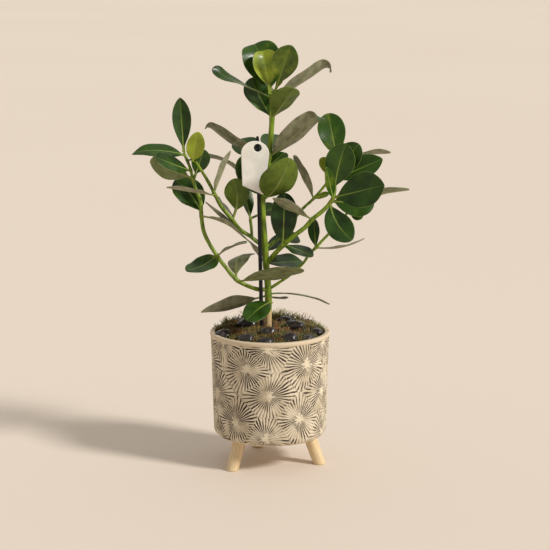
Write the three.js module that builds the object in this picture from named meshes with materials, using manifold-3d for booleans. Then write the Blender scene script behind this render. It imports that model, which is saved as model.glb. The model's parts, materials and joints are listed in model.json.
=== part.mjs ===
// A potted clusia: a shrub with thick leathery leaves in opposite pairs, growing in a round carved
// pot on three splayed wooden pegs, with a moss and pebble top dressing, a stake and a hanging tag.
// Millimetres, Z up, floor at Z = 0, pot axis on X = Y = 0, front towards -Y.
import * as THREE from "three";
import { mergeVertices } from "three/addons/utils/BufferGeometryUtils.js";
import Module from "manifold-3d";

const wasm = await Module();
wasm.setup();

// ---------------------------------------------------------------- driving dimensions
const GAP = 0.3; // clearance between any two pieces that meet
const RIM_HEIGHT = 152; // top of the pot above the floor
const POT_LIFT = 32; // underside of the pot above the floor
const RIM_RADIUS = 67.5; // outside of the lip
const LIP_PROUD = 0.5; // the lip stands out from the wall by this much
const WALL_TAPER = 3; // the wall's radius is this much less where the bottom corner starts
const LIP_BAND = 4; // height of the plain band
const POT_WALL = 5;
const POT_FLOOR = 6;
const BOTTOM_CORNER = 10; // radius of the bottom edge
const PEG_INSET = 6; // the middles of the pegs' feet are this far inside the foot of the wall
const PEG_SPLAY = THREE.MathUtils.degToRad(20);
const PEG_TOP_RADIUS = 7.5;
const PEG_FOOT_RADIUS = 6.8;
const PEG_ANGLES = [-14, 105, 223]; // round the pot, from +X
const SOIL_RIM_DROP = 10; // soil below the rim, at the wall
const SOIL_CROWN = 10; // soil higher at the middle than at the wall
const MOSS_DEPTH = 4.5;
const MOSS_BACK_RISE = 9; // the moss banks up against the back wall
const ROOT_DEPTH = 14; // how far stem and stake go down into the soil
const LEAF_THICKNESS = 1.2;
const PETIOLE_THICKNESS = 2.2;
const PETIOLE_WIDTH = 3;
const TIP_ROUNDNESS = 0.56; // power of the outline at the leaf tip
const STAKE_RADIUS = 2.2;
const TAG_WIDTH = 31;
const TAG_HEIGHT = 59;
const TAG_THICKNESS = 0.9;
const TAG_HOLE_RADIUS = 4.4;
const TAG_HOLE_OFFSET = 2.5; // the hole sits right of the card's middle
const TAG_SLANT = 8; // the foot of the card runs down to the right by this much
const TAG_TILT = 3; // degrees, foot of the card to the left
const LOOP_RADIUS = 4.3;
const LOOP_WIRE_RADIUS = 1;
const POT_SEGMENTS = 40;
const BED_SEGMENTS = 24;
const STEM_SIDES = 8;

// ---------------------------------------------------------------- derived sizes
const BODY_TOP_RADIUS = RIM_RADIUS - LIP_PROUD;
const BODY_FOOT_RADIUS = BODY_TOP_RADIUS - WALL_TAPER;
const PEG_SPREAD = BODY_FOOT_RADIUS - PEG_INSET; // radius of the circle through the feet's middles
const SOIL_EDGE = RIM_HEIGHT - SOIL_RIM_DROP;
const PLANT_BASE = SOIL_EDGE + SOIL_CROWN + MOSS_DEPTH + 1.5; // the height plant coordinates count from
const WALL_SLOPE = (BODY_TOP_RADIUS - BODY_FOOT_RADIUS) / (RIM_HEIGHT - POT_LIFT - BOTTOM_CORNER);

// Inside radius of the pot wall at height z.
function boreRadius(z) {
  return BODY_FOOT_RADIUS + WALL_SLOPE * (z - POT_LIFT - BOTTOM_CORNER) - POT_WALL;
}

// Top of the soil at radius r, for a bed of radius bed.
function soilHeight(r, bed) {
  return SOIL_EDGE + SOIL_CROWN * (1 - (r / bed) ** 2);
}

// Top of the moss: an even layer with shallow lumps, banked up towards the back.
function mossHeight(r, angle, bed) {
  const out = r / bed;
  const bank = MOSS_BACK_RISE * Math.max(0, Math.sin(angle)) * out ** 2;
  const lumps = 1.3 * Math.sin(5 * angle + 1) * Math.sin(Math.PI * out);
  return soilHeight(r, bed) + MOSS_DEPTH + bank + lumps;
}

// ---------------------------------------------------------------- helpers
function solid(positions, triangles) {
  return new wasm.Manifold(
    new wasm.Mesh({
      numProp: 3,
      vertProperties: new Float32Array(positions),
      triVerts: new Uint32Array(triangles),
    }),
  );
}

function solidOf(geometry) {
  const bare = geometry.clone();
  bare.deleteAttribute("normal");
  bare.deleteAttribute("uv");
  const merged = mergeVertices(bare, 1e-4);
  return solid(merged.getAttribute("position").array, merged.getIndex().array);
}

function geometryOf(body) {
  const mesh = body.getMesh();
  const geometry = new THREE.BufferGeometry();
  const positions = new Float32Array(mesh.vertProperties);
  geometry.setAttribute("position", new THREE.BufferAttribute(positions, 3));
  geometry.setIndex(new THREE.BufferAttribute(new Uint32Array(mesh.triVerts), 1));
  geometry.computeVertexNormals();
  return geometry;
}

// The biggest body of a solid that a cut has left in pieces.
function biggest(body) {
  const pieces = body.decompose();
  pieces.sort((a, b) => b.volume() - a.volume());
  return pieces[0];
}

// Closes a grid of rows x columns of points, top over bottom, into one skin.
function slab(top, bottom) {
  const rows = top.length;
  const columns = top[0].length;
  const positions = [];
  const triangles = [];
  const quad = (a, b, c, d) => triangles.push(a, c, b, a, d, c);
  const up = (i, j) => i * columns + j;
  const down = (i, j) => rows * columns + i * columns + j;
  for (const grid of [top, bottom]) {
    for (const row of grid) {
      for (const p of row) positions.push(p.x, p.y, p.z);
    }
  }
  for (let i = 0; i + 1 < rows; i++) {
    for (let j = 0; j + 1 < columns; j++) {
      quad(up(i, j), up(i + 1, j), up(i + 1, j + 1), up(i, j + 1));
      quad(down(i, j), down(i, j + 1), down(i + 1, j + 1), down(i + 1, j));
    }
    quad(up(i, 0), down(i, 0), down(i + 1, 0), up(i + 1, 0));
    quad(up(i + 1, columns - 1), down(i + 1, columns - 1), down(i, columns - 1), up(i, columns - 1));
  }
  for (let j = 0; j + 1 < columns; j++) {
    quad(up(0, j + 1), down(0, j + 1), down(0, j), up(0, j));
    quad(up(rows - 1, j), down(rows - 1, j), down(rows - 1, j + 1), up(rows - 1, j + 1));
  }
  return solid(positions, triangles);
}

// A tube along a smooth path whose radius changes evenly between the path's points.
function taperedTube(points, radii, sides, stepsPerSpan, extra) {
  const curve = new THREE.CatmullRomCurve3(points, false, "centripetal");
  const spans = points.length - 1;
  const steps = spans * stepsPerSpan;
  const positions = [];
  const triangles = [];
  const across = new THREE.Vector3(0, 1, 0);
  for (let i = 0; i <= steps; i++) {
    const f = i / steps;
    const centre = curve.getPoint(f);
    const along = curve.getTangent(f);
    if (i === 0) centre.addScaledVector(along, -extra);
    if (i === steps) centre.addScaledVector(along, extra);
    across.addScaledVector(along, -across.dot(along));
    across.normalize();
    const third = new THREE.Vector3().crossVectors(along, across);
    const place = Math.min(f * spans, spans - 1e-9);
    const k = Math.floor(place);
    const radius = radii[k] + (radii[k + 1] - radii[k]) * (place - k) + extra;
    for (let j = 0; j < sides; j++) {
      const turn = (2 * Math.PI * j) / sides;
      const p = centre.clone();
      p.addScaledVector(across, radius * Math.cos(turn));
      p.addScaledVector(third, radius * Math.sin(turn));
      positions.push(p.x, p.y, p.z);
    }
  }
  for (let i = 0; i < steps; i++) {
    for (let j = 0; j < sides; j++) {
      const a = i * sides + j;
      const b = i * sides + ((j + 1) % sides);
      triangles.push(a, b, b + sides, a, b + sides, a + sides);
    }
  }
  for (let j = 1; j + 1 < sides; j++) {
    const last = steps * sides;
    triangles.push(0, j + 1, j, last, last + j, last + j + 1);
  }
  return solid(positions, triangles);
}

// ---------------------------------------------------------------- pot and pegs
function arc(cx, cz, radius, from, to, count) {
  const points = [];
  for (let i = 0; i <= count; i++) {
    const a = from + ((to - from) * i) / count;
    points.push(new THREE.Vector2(cx + radius * Math.cos(a), cz + radius * Math.sin(a)));
  }
  return points;
}

function lathe(profile, segments) {
  const geometry = new THREE.LatheGeometry(profile, segments);
  geometry.rotateX(Math.PI / 2);
  return solidOf(geometry);
}

function makePot() {
  const flat = BODY_FOOT_RADIUS - BOTTOM_CORNER;
  const inside = boreRadius(POT_LIFT + BOTTOM_CORNER);
  const innerCorner = 7;
  const floorTop = POT_LIFT + POT_FLOOR;
  const profile = [
    new THREE.Vector2(0, POT_LIFT),
    ...arc(flat, POT_LIFT + BOTTOM_CORNER, BOTTOM_CORNER, -Math.PI / 2, 0, 4),
    new THREE.Vector2(BODY_TOP_RADIUS, RIM_HEIGHT - LIP_BAND),
    new THREE.Vector2(RIM_RADIUS, RIM_HEIGHT - LIP_BAND + 0.5),
    ...arc(RIM_RADIUS - 1.5, RIM_HEIGHT - 1.5, 1.5, 0, Math.PI / 2, 2),
    ...arc(boreRadius(RIM_HEIGHT) + 1, RIM_HEIGHT - 1, 1, Math.PI / 2, Math.PI, 2),
    ...arc(inside - innerCorner, floorTop + innerCorner, innerCorner, 0, -Math.PI / 2, 3),
    new THREE.Vector2(0, floorTop),
  ];
  return lathe(profile, POT_SEGMENTS);
}

function makePeg(angleDegrees) {
  const angle = THREE.MathUtils.degToRad(angleDegrees);
  const length = 3 * POT_LIFT;
  const cone = new THREE.CylinderGeometry(
    PEG_TOP_RADIUS + (PEG_TOP_RADIUS - PEG_FOOT_RADIUS),
    PEG_FOOT_RADIUS - (PEG_TOP_RADIUS - PEG_FOOT_RADIUS),
    length,
    16,
  );
  cone.rotateX(Math.PI / 2);
  cone.rotateY(-PEG_SPLAY);
  cone.translate(PEG_SPREAD - (Math.tan(PEG_SPLAY) * POT_LIFT) / 2, 0, POT_LIFT / 2);
  cone.rotateZ(angle);
  const floorToPot = new THREE.BoxGeometry(400, 400, POT_LIFT - GAP);
  floorToPot.translate(0, 0, (POT_LIFT - GAP) / 2);
  return solidOf(cone).intersect(solidOf(floorToPot));
}

// ---------------------------------------------------------------- growing bed
const BED_RINGS = [0.3, 0.6, 0.85, 1];

// A round bed between two surfaces given as functions of radius and angle.
function bedBetween(topOf, bottomOf, topRadius, bottomRadius) {
  const positions = [0, 0, topOf(0, 0), 0, 0, bottomOf(0, 0)];
  const triangles = [];
  const n = BED_SEGMENTS;
  const rings = BED_RINGS.length;
  for (const [surface, radius] of [[topOf, topRadius], [bottomOf, bottomRadius]]) {
    for (const ring of BED_RINGS) {
      for (let j = 0; j < n; j++) {
        const angle = (2 * Math.PI * j) / n;
        const r = ring * radius;
        positions.push(r * Math.cos(angle), r * Math.sin(angle), surface(r, angle));
      }
    }
  }
  const at = (layer, ring, j) => 2 + (layer * rings + ring) * n + (j % n);
  for (let j = 0; j < n; j++) {
    triangles.push(0, at(0, 0, j), at(0, 0, j + 1));
    triangles.push(1, at(1, 0, j + 1), at(1, 0, j));
    for (let k = 0; k + 1 < rings; k++) {
      triangles.push(at(0, k, j), at(0, k + 1, j), at(0, k + 1, j + 1));
      triangles.push(at(0, k, j), at(0, k + 1, j + 1), at(0, k, j + 1));
      triangles.push(at(1, k, j), at(1, k + 1, j + 1), at(1, k + 1, j));
      triangles.push(at(1, k, j), at(1, k, j + 1), at(1, k + 1, j + 1));
    }
    triangles.push(at(0, rings - 1, j), at(1, rings - 1, j), at(1, rings - 1, j + 1));
    triangles.push(at(0, rings - 1, j), at(1, rings - 1, j + 1), at(0, rings - 1, j + 1));
  }
  return solid(positions, triangles);
}

const BED_RADIUS = boreRadius(SOIL_EDGE - 2) - GAP - 0.4;
const SOIL_BOTTOM = POT_LIFT + POT_FLOOR + GAP + 8;
const soilBlank = bedBetween(
  (r) => soilHeight(r, BED_RADIUS),
  () => SOIL_BOTTOM,
  BED_RADIUS,
  boreRadius(SOIL_BOTTOM) - GAP - 1,
);
const mossBlank = bedBetween(
  (r, angle) => mossHeight(r, angle, BED_RADIUS),
  (r) => soilHeight(r, BED_RADIUS) + GAP,
  BED_RADIUS,
  BED_RADIUS,
);

// Pebbles lying in the moss: middle [x, y] in bed radii, half sizes [x, y, z] in millimetres, turn in
// degrees.
const PEBBLES = [
  ["pebble_front_left", [-0.43, -0.69], [10, 7.5, 5.5], -30],
  ["pebble_front", [-0.07, -0.82], [9.5, 7, 5], 5],
  ["pebble_right", [0.69, -0.54], [9, 7, 5.5], 52],
];

function makePebble([acrossShare, backShare], [a, b, c], turn, grow) {
  const x = acrossShare * BED_RADIUS;
  const y = backShare * BED_RADIUS;
  const geometry = new THREE.IcosahedronGeometry(1, 1);
  geometry.scale(a + grow, b + grow, c + grow);
  geometry.rotateZ(THREE.MathUtils.degToRad(turn));
  const r = Math.hypot(x, y);
  const z = mossHeight(r, Math.atan2(y, x), BED_RADIUS) - 0.5;
  geometry.translate(x, y, z);
  return solidOf(geometry);
}

// ---------------------------------------------------------------- stems
// Points run from the foot to the tip, measured from the pot axis and from PLANT_BASE up.
const STEMS = {
  main_stem: {
    points: [
      [-2, 6, -ROOT_DEPTH], [-2, 6, 6], [-2, 5, 38], [-4.4, 3, 70], [-5.5, 2, 89], [-7.7, 0, 125],
      [-8.2, 0, 142], [-2.5, 0, 178], [-1, 0, 190], [2.4, 2, 233], [2.4, 2, 256], [2.6, 2, 262],
    ],
    radii: [4, 4, 3.9, 3.6, 3.5, 3.3, 3.2, 3, 3, 2.9, 2.9, 2.6],
  },
  left_arching_stem: {
    parent: "main_stem",
    points: [
      [-2, 5, 40], [-13.4, 1, 41], [-22.4, -2, 44.5], [-37, -6, 53], [-50.5, -9, 69.5], [-58.7, -10, 81],
      [-67.9, -10, 96], [-73.5, -10, 109], [-76, -9, 125.6], [-77, -8, 143], [-82.6, -6, 157.4],
      [-85.3, -5, 167], [-88, -4, 178], [-95.3, 0, 196],
    ],
    radii: [2.4, 2.4, 2.3, 2.3, 2.2, 2.2, 2.2, 2.2, 2.1, 2.1, 2, 1.9, 1.7, 1.5],
  },
  left_upright_stem: {
    parent: "main_stem",
    points: [
      [-5.5, 2, 89], [-13.2, 3.5, 94], [-22.2, 2, 101.5], [-32.2, 0, 108.4], [-42.2, -3, 121],
      [-54.5, -6, 137], [-60.5, -8, 149], [-67.6, -10, 163.5], [-74.8, -12, 176], [-82, -14, 187.5],
    ],
    radii: [2.2, 2.2, 2.2, 2.2, 2.3, 2.1, 2, 1.8, 1.7, 1.5],
  },
  left_spur_stem: {
    parent: "left_upright_stem",
    joined: true,
    points: [[-20.2, 2.4, 100], [-20.5, 3, 108], [-22, 3, 121]],
    radii: [1.7, 1.6, 1.6],
  },
  right_stem: {
    parent: "main_stem",
    points: [
      [-4.4, 3, 70], [2.3, 0, 78], [14.6, -3, 92], [28, -6, 104], [39, -8, 113], [47, -9, 122],
      [60.3, -10, 133.5], [68, -10, 142.5], [70.6, -10, 148], [72.3, -6, 165], [74.5, -2, 189],
    ],
    radii: [2.7, 2.7, 2.7, 2.6, 2.5, 2.5, 2.3, 2.2, 2, 1.8, 1.5],
  },
  right_thin_stem: {
    parent: "main_stem",
    points: [
      [-5.5, 2, 89], [5.7, 6, 95], [22.4, 10, 113.5], [36.9, 12, 131], [49.1, 12, 142.5], [61.3, 12, 157],
      [72.3, 12, 172],
    ],
    radii: [1.7, 1.7, 1.6, 1.6, 1.6, 1.5, 1.4],
  },
  right_low_stem: {
    parent: "main_stem",
    points: [
      [-2, 5, 40], [6.8, 3, 46], [23.7, 1, 58.4], [37.2, 0, 71], [45, 0, 82.5], [51.6, 0, 88.8],
      [59.2, 2, 97], [70.4, 4, 108.3], [84, 5, 124], [94.5, 6, 138],
    ],
    radii: [1.8, 1.7, 1.6, 1.6, 1.6, 1.7, 1.5, 1.5, 1.4, 1.3],
  },
};

function plantPoint([x, y, z]) {
  return new THREE.Vector3(x, y, z + PLANT_BASE);
}

function stemTube(name, extra) {
  const { points, radii } = STEMS[name];
  return taperedTube(points.map(plantPoint), radii, STEM_SIDES, 2, extra);
}

function stemPlace(name, at) {
  const { points } = STEMS[name];
  const curve = new THREE.CatmullRomCurve3(points.map(plantPoint), false, "centripetal");
  return curve.getPoint(at / (points.length - 1));
}

// ---------------------------------------------------------------- leaves
// Each leaf: name, stem, place along the stem (counted in stem points), reach from its foot to its
// tip, blade width, the way its upper side faces, and how it curves:
// bend bulges the midrib to the upper side, sway to its left, hook lifts the last quarter, fold
// raises both halves, curl rolls the tip to the underside by that many degrees over the last curled
// share of the length, twist turns the blade by that many degrees from foot to tip, foot shifts the
// foot, stalk is the bare share of its length, belly is where it is widest, tip is TIP_ROUNDNESS for
// this leaf, and a joined leaf is one piece with its stem.
const LEAVES = [
  // crown
  ["crown_leaf_back", "main_stem", 11, [-19, 17, 54], 44, [0.2, -1, 0.3],
    { fold: 0.25, curl: 45, curled: 0.25, sway: -0.02, foot: [-1, 3.1, 0.3], belly: 0.62, tip: 0.46 }],
  ["crown_leaf_inner", "main_stem", 11, [-8, 7, 48], 29, [0.15, -1, 0.1],
    { fold: 0.55, curl: 40, foot: [-2.4, -1.8, -2], stalk: 0.2, belly: 0.62 }],
  ["crown_leaf_right", "main_stem", 11, [18, -15, 54], 29, [0, -1, 0.25],
    { fold: 0.25, foot: [2.4, -1.4, -1], stalk: 0.2, belly: 0.62, tip: 0.66 }],
  ["crown_leaf_far_left", "main_stem", 10, [-66, -10, 31], 20, [0.3, 0.12, 1],
    { hook: 0.05, fold: 0.1, twist: 75, belly: 0.68, tip: 0.42 }],
  ["crown_leaf_far_right", "main_stem", 9.8, [68, 10, 45], 28, [-0.45, 0.5, 0.75],
    { curl: 150, curled: 0.18, fold: 0.25, belly: 0.55, foot: [0, 1.5, 0] }],
  ["crown_leaf_low_left", "main_stem", 9, [-24, 24, 43], 36, [0.25, -0.75, 0.6],
    { fold: 0.25, bend: -0.04, tip: 0.72, belly: 0.6 }],
  ["crown_leaf_low_right", "main_stem", 9, [24, -26, 36], 33, [-0.3, 0.75, 0.55],
    { fold: 0.3, belly: 0.6, tip: 0.66 }],
  ["crown_leaf_bud", "main_stem", 10.4, [12, 10, 20], 8, [-0.5, -0.8, 0.3],
    { fold: 0.3, joined: true, stalk: 0.4 }],
  // middle of the main stem
  ["mid_leaf_left", "main_stem", 8, [-72, 17, 40], 27, [0.35, 0.5, 0.8],
    { bend: -0.055, curl: 120, curled: 0.14, fold: 0.15, belly: 0.5 }],
  ["mid_leaf_right", "main_stem", 8, [60, -22, 56], 31, [-0.4, 0.75, 0.5],
    { curl: 150, curled: 0.18, fold: 0.25, belly: 0.55 }],
  ["mid_leaf_back_left", "main_stem", 7.3, [-35, 42, 23], 32, [0.2, -0.75, 0.6],
    { joined: true, fold: 0.15, foot: [0, 2, 0], stalk: 0.3 }],
  ["mid_leaf_back", "main_stem", 8.2, [4, 40, 14], 26, [0, -0.7, 0.7], { joined: true, fold: 0.2 }],
  ["mid_leaf_back_right", "main_stem", 7, [19, 20, 15], 24, [-0.3, -0.6, 0.7],
    { fold: 0.2, joined: true }],
  ["mid_leaf_front", "main_stem", 6, [30, -34, 52], 42, [-0.25, 0.85, 0.45],
    { bend: -0.13, fold: 0.2, belly: 0.5, stalk: 0.16, tip: 0.6 }],
  ["mid_leaf_behind_tag", "main_stem", 6.1, [-24, 2, 46], 30, [0.15, -0.98, 0.1], { fold: 0.1 }],
  // left upright stem and its spur
  ["left_leaf_olive", "left_upright_stem", 4, [1, -3, 46], 28, [0, 0.9, 0.4],
    { sway: 0.12, fold: 0.1, stalk: 0.25 }],
  ["left_leaf_spur_up", "left_spur_stem", 2, [-9, 12, 38], 18, [0.6, -0.7, 0.2],
    { joined: true, fold: 0.3 }],
  ["left_leaf_spur_right", "left_spur_stem", 2, [31.6, 24, 11], 22, [0, -0.6, 0.8],
    { joined: true, stalk: 0.3, fold: 0.1 }],
  ["left_leaf_pale", "left_upright_stem", 6, [-51.6, -40, 14.6], 26, [0.1, 0.3, 0.95],
    { fold: 0.15, tip: 0.85 }],
  ["left_leaf_droop", "left_upright_stem", 6, [19, 28, -28], 24, [0.35, -0.35, 0.87],
    { joined: true, fold: 0.1 }],
  ["left_leaf_slim", "left_upright_stem", 6.2, [19, -9, 48], 18, [-0.85, 0.35, 0.3],
    { fold: 0.3, belly: 0.5 }],
  ["left_leaf_yellow", "left_upright_stem", 9, [7, -12, 34], 20, [0.1, -1, 0.2],
    { fold: 0.25, foot: [-3, 0, 0], belly: 0.5 }],
  ["left_leaf_long", "main_stem", 3.6, [-66, -20, 62], 23, [0.5, 0.25, 0.8],
    { stalk: 0.36, fold: 0.15, belly: 0.5, bend: -0.02 }],
  ["left_leaf_band", "main_stem", 2.9, [-19, 8, 27], 16, [0.6, 0.3, 0.6], { fold: 0.1, joined: true }],
  // left arching stem
  ["arch_leaf_upright", "left_arching_stem", 13, [-4, 6, 60], 21, [0.1, -1, 0.1],
    { fold: 0.5, belly: 0.58, tip: 0.75 }],
  ["arch_leaf_far_left", "left_arching_stem", 12.7, [-59, -9, 5], 24, [0.05, -0.52, 0.85],
    { bend: 0.08, hook: -0.05, fold: 0.1, belly: 0.45, tip: 0.9, foot: [0, 1, 1.4] }],
  ["arch_leaf_across", "left_arching_stem", 12.5, [58.8, 30, -20], 22, [0.1, 0, 1],
    { bend: 0.16, fold: 0.3, belly: 0.5 }],
  ["arch_leaf_glossy", "left_arching_stem", 11.9, [-37, -31, 19], 25, [-0.05, -0.72, 0.68],
    { fold: 0.1, foot: [0, -2.4, -1] }],
  ["arch_leaf_olive", "left_arching_stem", 11, [-48, 13, 19], 36, [0.3, 0.85, 0.42],
    { fold: 0.12, belly: 0.6, tip: 0.8 }],
  ["arch_leaf_right", "left_arching_stem", 10.8, [12, -1, 35], 21, [0.35, -0.9, 0.2],
    { joined: true, fold: 0.2, stalk: 0.24 }],
  ["arch_leaf_shaded", "left_arching_stem", 8.2, [-30, 25, 34], 34, [0.3, -0.85, 0.4],
    { fold: 0.15, sway: -0.07 }],
  ["arch_leaf_thin", "left_arching_stem", 8, [49, -41, -18], 17, [0.3, 0.5, 0.8],
    { bend: 0.08, stalk: 0.12, fold: 0.2 }],
  ["arch_leaf_dark", "left_arching_stem", 5, [33, -24, 19], 18, [-0.2, 0.05, 0.95],
    { joined: true, bend: 0.06, stalk: 0.15, fold: 0.2 }],
  ["arch_leaf_low_left", "left_arching_stem", 5, [-34, -24, -12], 27, [-0.1, -0.5, 0.85],
    { bend: -0.09, fold: 0.1, belly: 0.38, stalk: 0.04 }],
  ["arch_leaf_curled", "left_arching_stem", 3.05, [15, 38, 20], 33, [0.5, 0.75, -0.2],
    { bend: -0.26, fold: 0.1, belly: 0.6, foot: [0, 1.6, 0.5] }],
  ["arch_leaf_low_right", "left_arching_stem", 2.9, [72, -38, 21], 32, [-0.1, 0.6, 0.8],
    { fold: 0.1, foot: [0.5, -1.6, -0.5] }],
  ["low_leaf_behind", "main_stem", 3, [41, 25, -2], 28, [0, -0.5, 0.87], { joined: true, fold: 0.15 }],
  // lowest pairs
  ["low_leaf_left", "main_stem", 1.85, [-76, -8, -18], 29, [-0.05, 0.66, 0.75],
    { stalk: 0.18, fold: 0.15, belly: 0.48, tip: 0.95 }],
  ["low_leaf_right", "main_stem", 1.9, [70, 15, -15], 24, [0.2, 0.2, 0.98],
    { bend: 0.07, stalk: 0.15, fold: 0.05, tip: 0.95, belly: 0.5 }],
  ["low_leaf_back", "main_stem", 1.8, [18, 38, -10], 22, [0, 0.1, 1], { joined: true, fold: 0.15 }],
  ["low_leaf_front", "main_stem", 1.6, [-28, -38, -13], 26, [-0.15, -0.85, 0.5],
    { stalk: 0.14, fold: 0.1, foot: [3.6, -3, 1], bend: 0.1, belly: 0.58, tip: 0.5 }],
  // right stem
  ["right_leaf_upright", "right_stem", 10, [-10, 14, 49], 31, [0.1, -1, 0.2],
    { fold: 0.15, belly: 0.6 }],
  ["right_leaf_dark", "right_stem", 8.5, [12, -5, 52], 33, [0, -1, 0.15],
    { fold: 0.25, foot: [0, -1.2, 0], tip: 0.66, sway: 0.03 }],
  ["right_leaf_broad", "right_stem", 7.8, [55, -30, 18], 40, [-0.1, -0.95, 0.35],
    { fold: 0.16, tip: 0.66 }],
  ["right_leaf_side", "right_stem", 7.6, [-8, -14, 37], 14, [0.6, -0.8, 0.1],
    { joined: true, fold: 0.2, belly: 0.5 }],
  ["right_leaf_young", "right_stem", 9.2, [-17, -3, 21], 15, [0, -0.9, 0.4],
    { joined: true, fold: 0.2 }],
  ["right_leaf_shaded", "right_stem", 7, [48, 4, -3], 32, [0.05, -0.95, 0.3], { fold: 0.1 }],
  ["right_leaf_hanging", "right_stem", 6.8, [24, -24, -38], 30, [0, -0.85, 0.5],
    { sway: -0.1, fold: 0.1 }],
  ["right_leaf_glossy", "right_stem", 2, [2, 8, 58], 30, [0, -0.95, 0.3],
    { fold: 0.15, bend: 0.03, belly: 0.54 }],
  ["right_leaf_inward", "right_stem", 5, [-44, -18, 27], 19, [0.3, 0.65, 0.65],
    { fold: 0.15, tip: 0.8 }],
  ["right_leaf_gloss_low", "right_stem", 2, [32, -25, -9], 24, [0.1, -0.3, 0.95],
    { joined: true, fold: 0.1, bend: 0.04 }],
  ["right_leaf_tucked", "right_stem", 2.3, [12, 20, 4], 18, [0.2, -0.8, 0.5],
    { joined: true, fold: 0.2 }],
  // right thin stem
  ["thin_leaf_slim", "right_thin_stem", 4, [-24, -10, 49], 22, [0.75, 0.4, 0.4],
    { fold: 0.3, hook: 0.04 }],
  ["thin_leaf_bud", "right_thin_stem", 4, [17, -5, 6], 10, [0, -0.6, 0.8], { joined: true, fold: 0.2 }],
  ["thin_leaf_olive", "right_thin_stem", 5.7, [30, -2, 37], 28, [0.1, -0.97, 0.2],
    { joined: true, fold: 0.15, foot: [0, -1, 0] }],
  ["thin_leaf_pointed", "right_thin_stem", 5.6, [58, 0, 25], 27, [0.15, -0.85, 0.45],
    { fold: 0.25, foot: [0, 0, -4], tip: 0.8 }],
  ["thin_leaf_grey", "right_thin_stem", 6, [65, 32, 17], 23, [-0.2, 0.4, 0.9],
    { bend: 0.09, fold: 0.15, belly: 0.5, foot: [0, 1.5, 1.2], stalk: 0.15, tip: 0.9 }],
  ["thin_leaf_low", "main_stem", 3.7, [21, 30, 14], 15, [0.2, -0.6, 0.75],
    { joined: true, fold: 0.1, foot: [0, 2, 0] }],
  // right low stem
  ["low_stem_leaf_up", "right_low_stem", 5, [-2, 12, 30], 15, [-0.5, -0.8, 0.2],
    { joined: true, fold: 0.35 }],
  ["low_stem_leaf_right", "right_low_stem", 5, [55, 12, 8.5], 22, [0, 0.25, 0.97],
    { bend: -0.08, fold: 0.1, tip: 0.95, belly: 0.5 }],
  ["low_stem_leaf_tip", "right_low_stem", 9, [62, 8, 14], 22, [-0.1, 0.45, 0.88],
    { bend: 0.06, fold: 0.15, belly: 0.55, tip: 0.7 }],
  ["low_stem_leaf_bud", "right_low_stem", 8.5, [14, -4, -9], 14, [0.1, -0.9, 0.3],
    { joined: true, fold: 0.2 }],
];

const LEAF_ROWS = [0, 0.15, 0.35, 0.55, 0.7, 0.8, 0.9, 1];
const LEAF_COLUMNS = [-1, -0.5, 0, 0.5, 1];

// Half width of a leaf at share t of its length: a slim stalk, then an egg-shaped blade that is
// widest at share belly of its own length and ends in a blunt round tip.
function halfWidth(t, width, stalk, belly, tip) {
  const b = Math.max(0, (t - stalk) / (1 - stalk));
  const out = (tip * belly) / (1 - belly);
  const peak = belly ** out * (1 - belly) ** tip;
  const blade = (0.5 * width * b ** out * (1 - b) ** tip) / peak;
  return Math.max(blade, t < 0.9 ? PETIOLE_WIDTH / 2 : width * 0.09);
}

function leafBlade(foot, reach, width, facing, shape) {
  const { bend = 0, sway = 0, hook = 0, fold = 0, stalk = 0.08, belly = 0.58 } = shape;
  const { curl = 0, curled = 0.2, twist = 0, tip = TIP_ROUNDNESS } = shape;
  const length = reach.length();
  const along = reach.clone().normalize();
  const up = facing.clone().addScaledVector(along, -facing.dot(along));
  up.normalize();
  const side = new THREE.Vector3().crossVectors(along, up);
  const midrib = (t) => {
    const arch = 4 * t * (1 - t);
    const end = Math.max(0, (t - 0.75) / 0.25) ** 2;
    const p = foot.clone().addScaledVector(reach, t);
    p.addScaledVector(up, length * (bend * arch + hook * end));
    p.addScaledVector(side, -length * sway * arch);
    if (curl && t > 1 - curled) {
      const run = (t - 1 + curled) * length;
      const radius = (curled * length) / THREE.MathUtils.degToRad(curl);
      const turned = run / radius;
      p.addScaledVector(along, radius * Math.sin(turned) - run);
      p.addScaledVector(up, -radius * (1 - Math.cos(turned)));
    }
    return p;
  };
  const top = [];
  const bottom = [];
  for (const t of LEAF_ROWS) {
    const middle = midrib(t);
    const tangent = midrib(t + 0.01).sub(midrib(t - 0.01));
    tangent.normalize();
    const across = side.clone().addScaledVector(tangent, -side.dot(tangent));
    across.normalize();
    const turn = THREE.MathUtils.degToRad(twist) * t ** 3;
    across.applyAxisAngle(tangent, -turn);
    const normal = new THREE.Vector3().crossVectors(across, tangent);
    const half = halfWidth(t, width, stalk, belly, tip);
    const stalkShare = Math.max(0, 1 - t / (stalk + 0.15));
    const thick = LEAF_THICKNESS + (PETIOLE_THICKNESS - LEAF_THICKNESS) * stalkShare;
    const upper = [];
    const lower = [];
    for (const u of LEAF_COLUMNS) {
      const lift = fold * half * (0.5 * Math.abs(u) + 0.5 * u * u);
      const p = middle.clone().addScaledVector(across, u * half);
      p.addScaledVector(normal, lift);
      const edge = Math.abs(u) === 1 ? 0.6 : 1;
      upper.push(p.clone().addScaledVector(normal, (thick * edge) / 2));
      lower.push(p.clone().addScaledVector(normal, (-thick * edge) / 2));
    }
    top.push(upper);
    bottom.push(lower);
  }
  return slab(top, bottom);
}

function makeLeaf([, stem, at, reach, width, facing, shape]) {
  const foot = stemPlace(stem, at);
  if (shape.foot) foot.add(new THREE.Vector3(...shape.foot));
  return leafBlade(foot, new THREE.Vector3(...reach), width, new THREE.Vector3(...facing), shape);
}

// ---------------------------------------------------------------- stake, tag and loop
const STAKE_FOOT = plantPoint([-9, -3, -ROOT_DEPTH]);
const STAKE_TOP = plantPoint([-13.6, -9, 215]);
const LOOP_PLACE = 0.945; // how far up the stake the loop hangs

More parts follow.
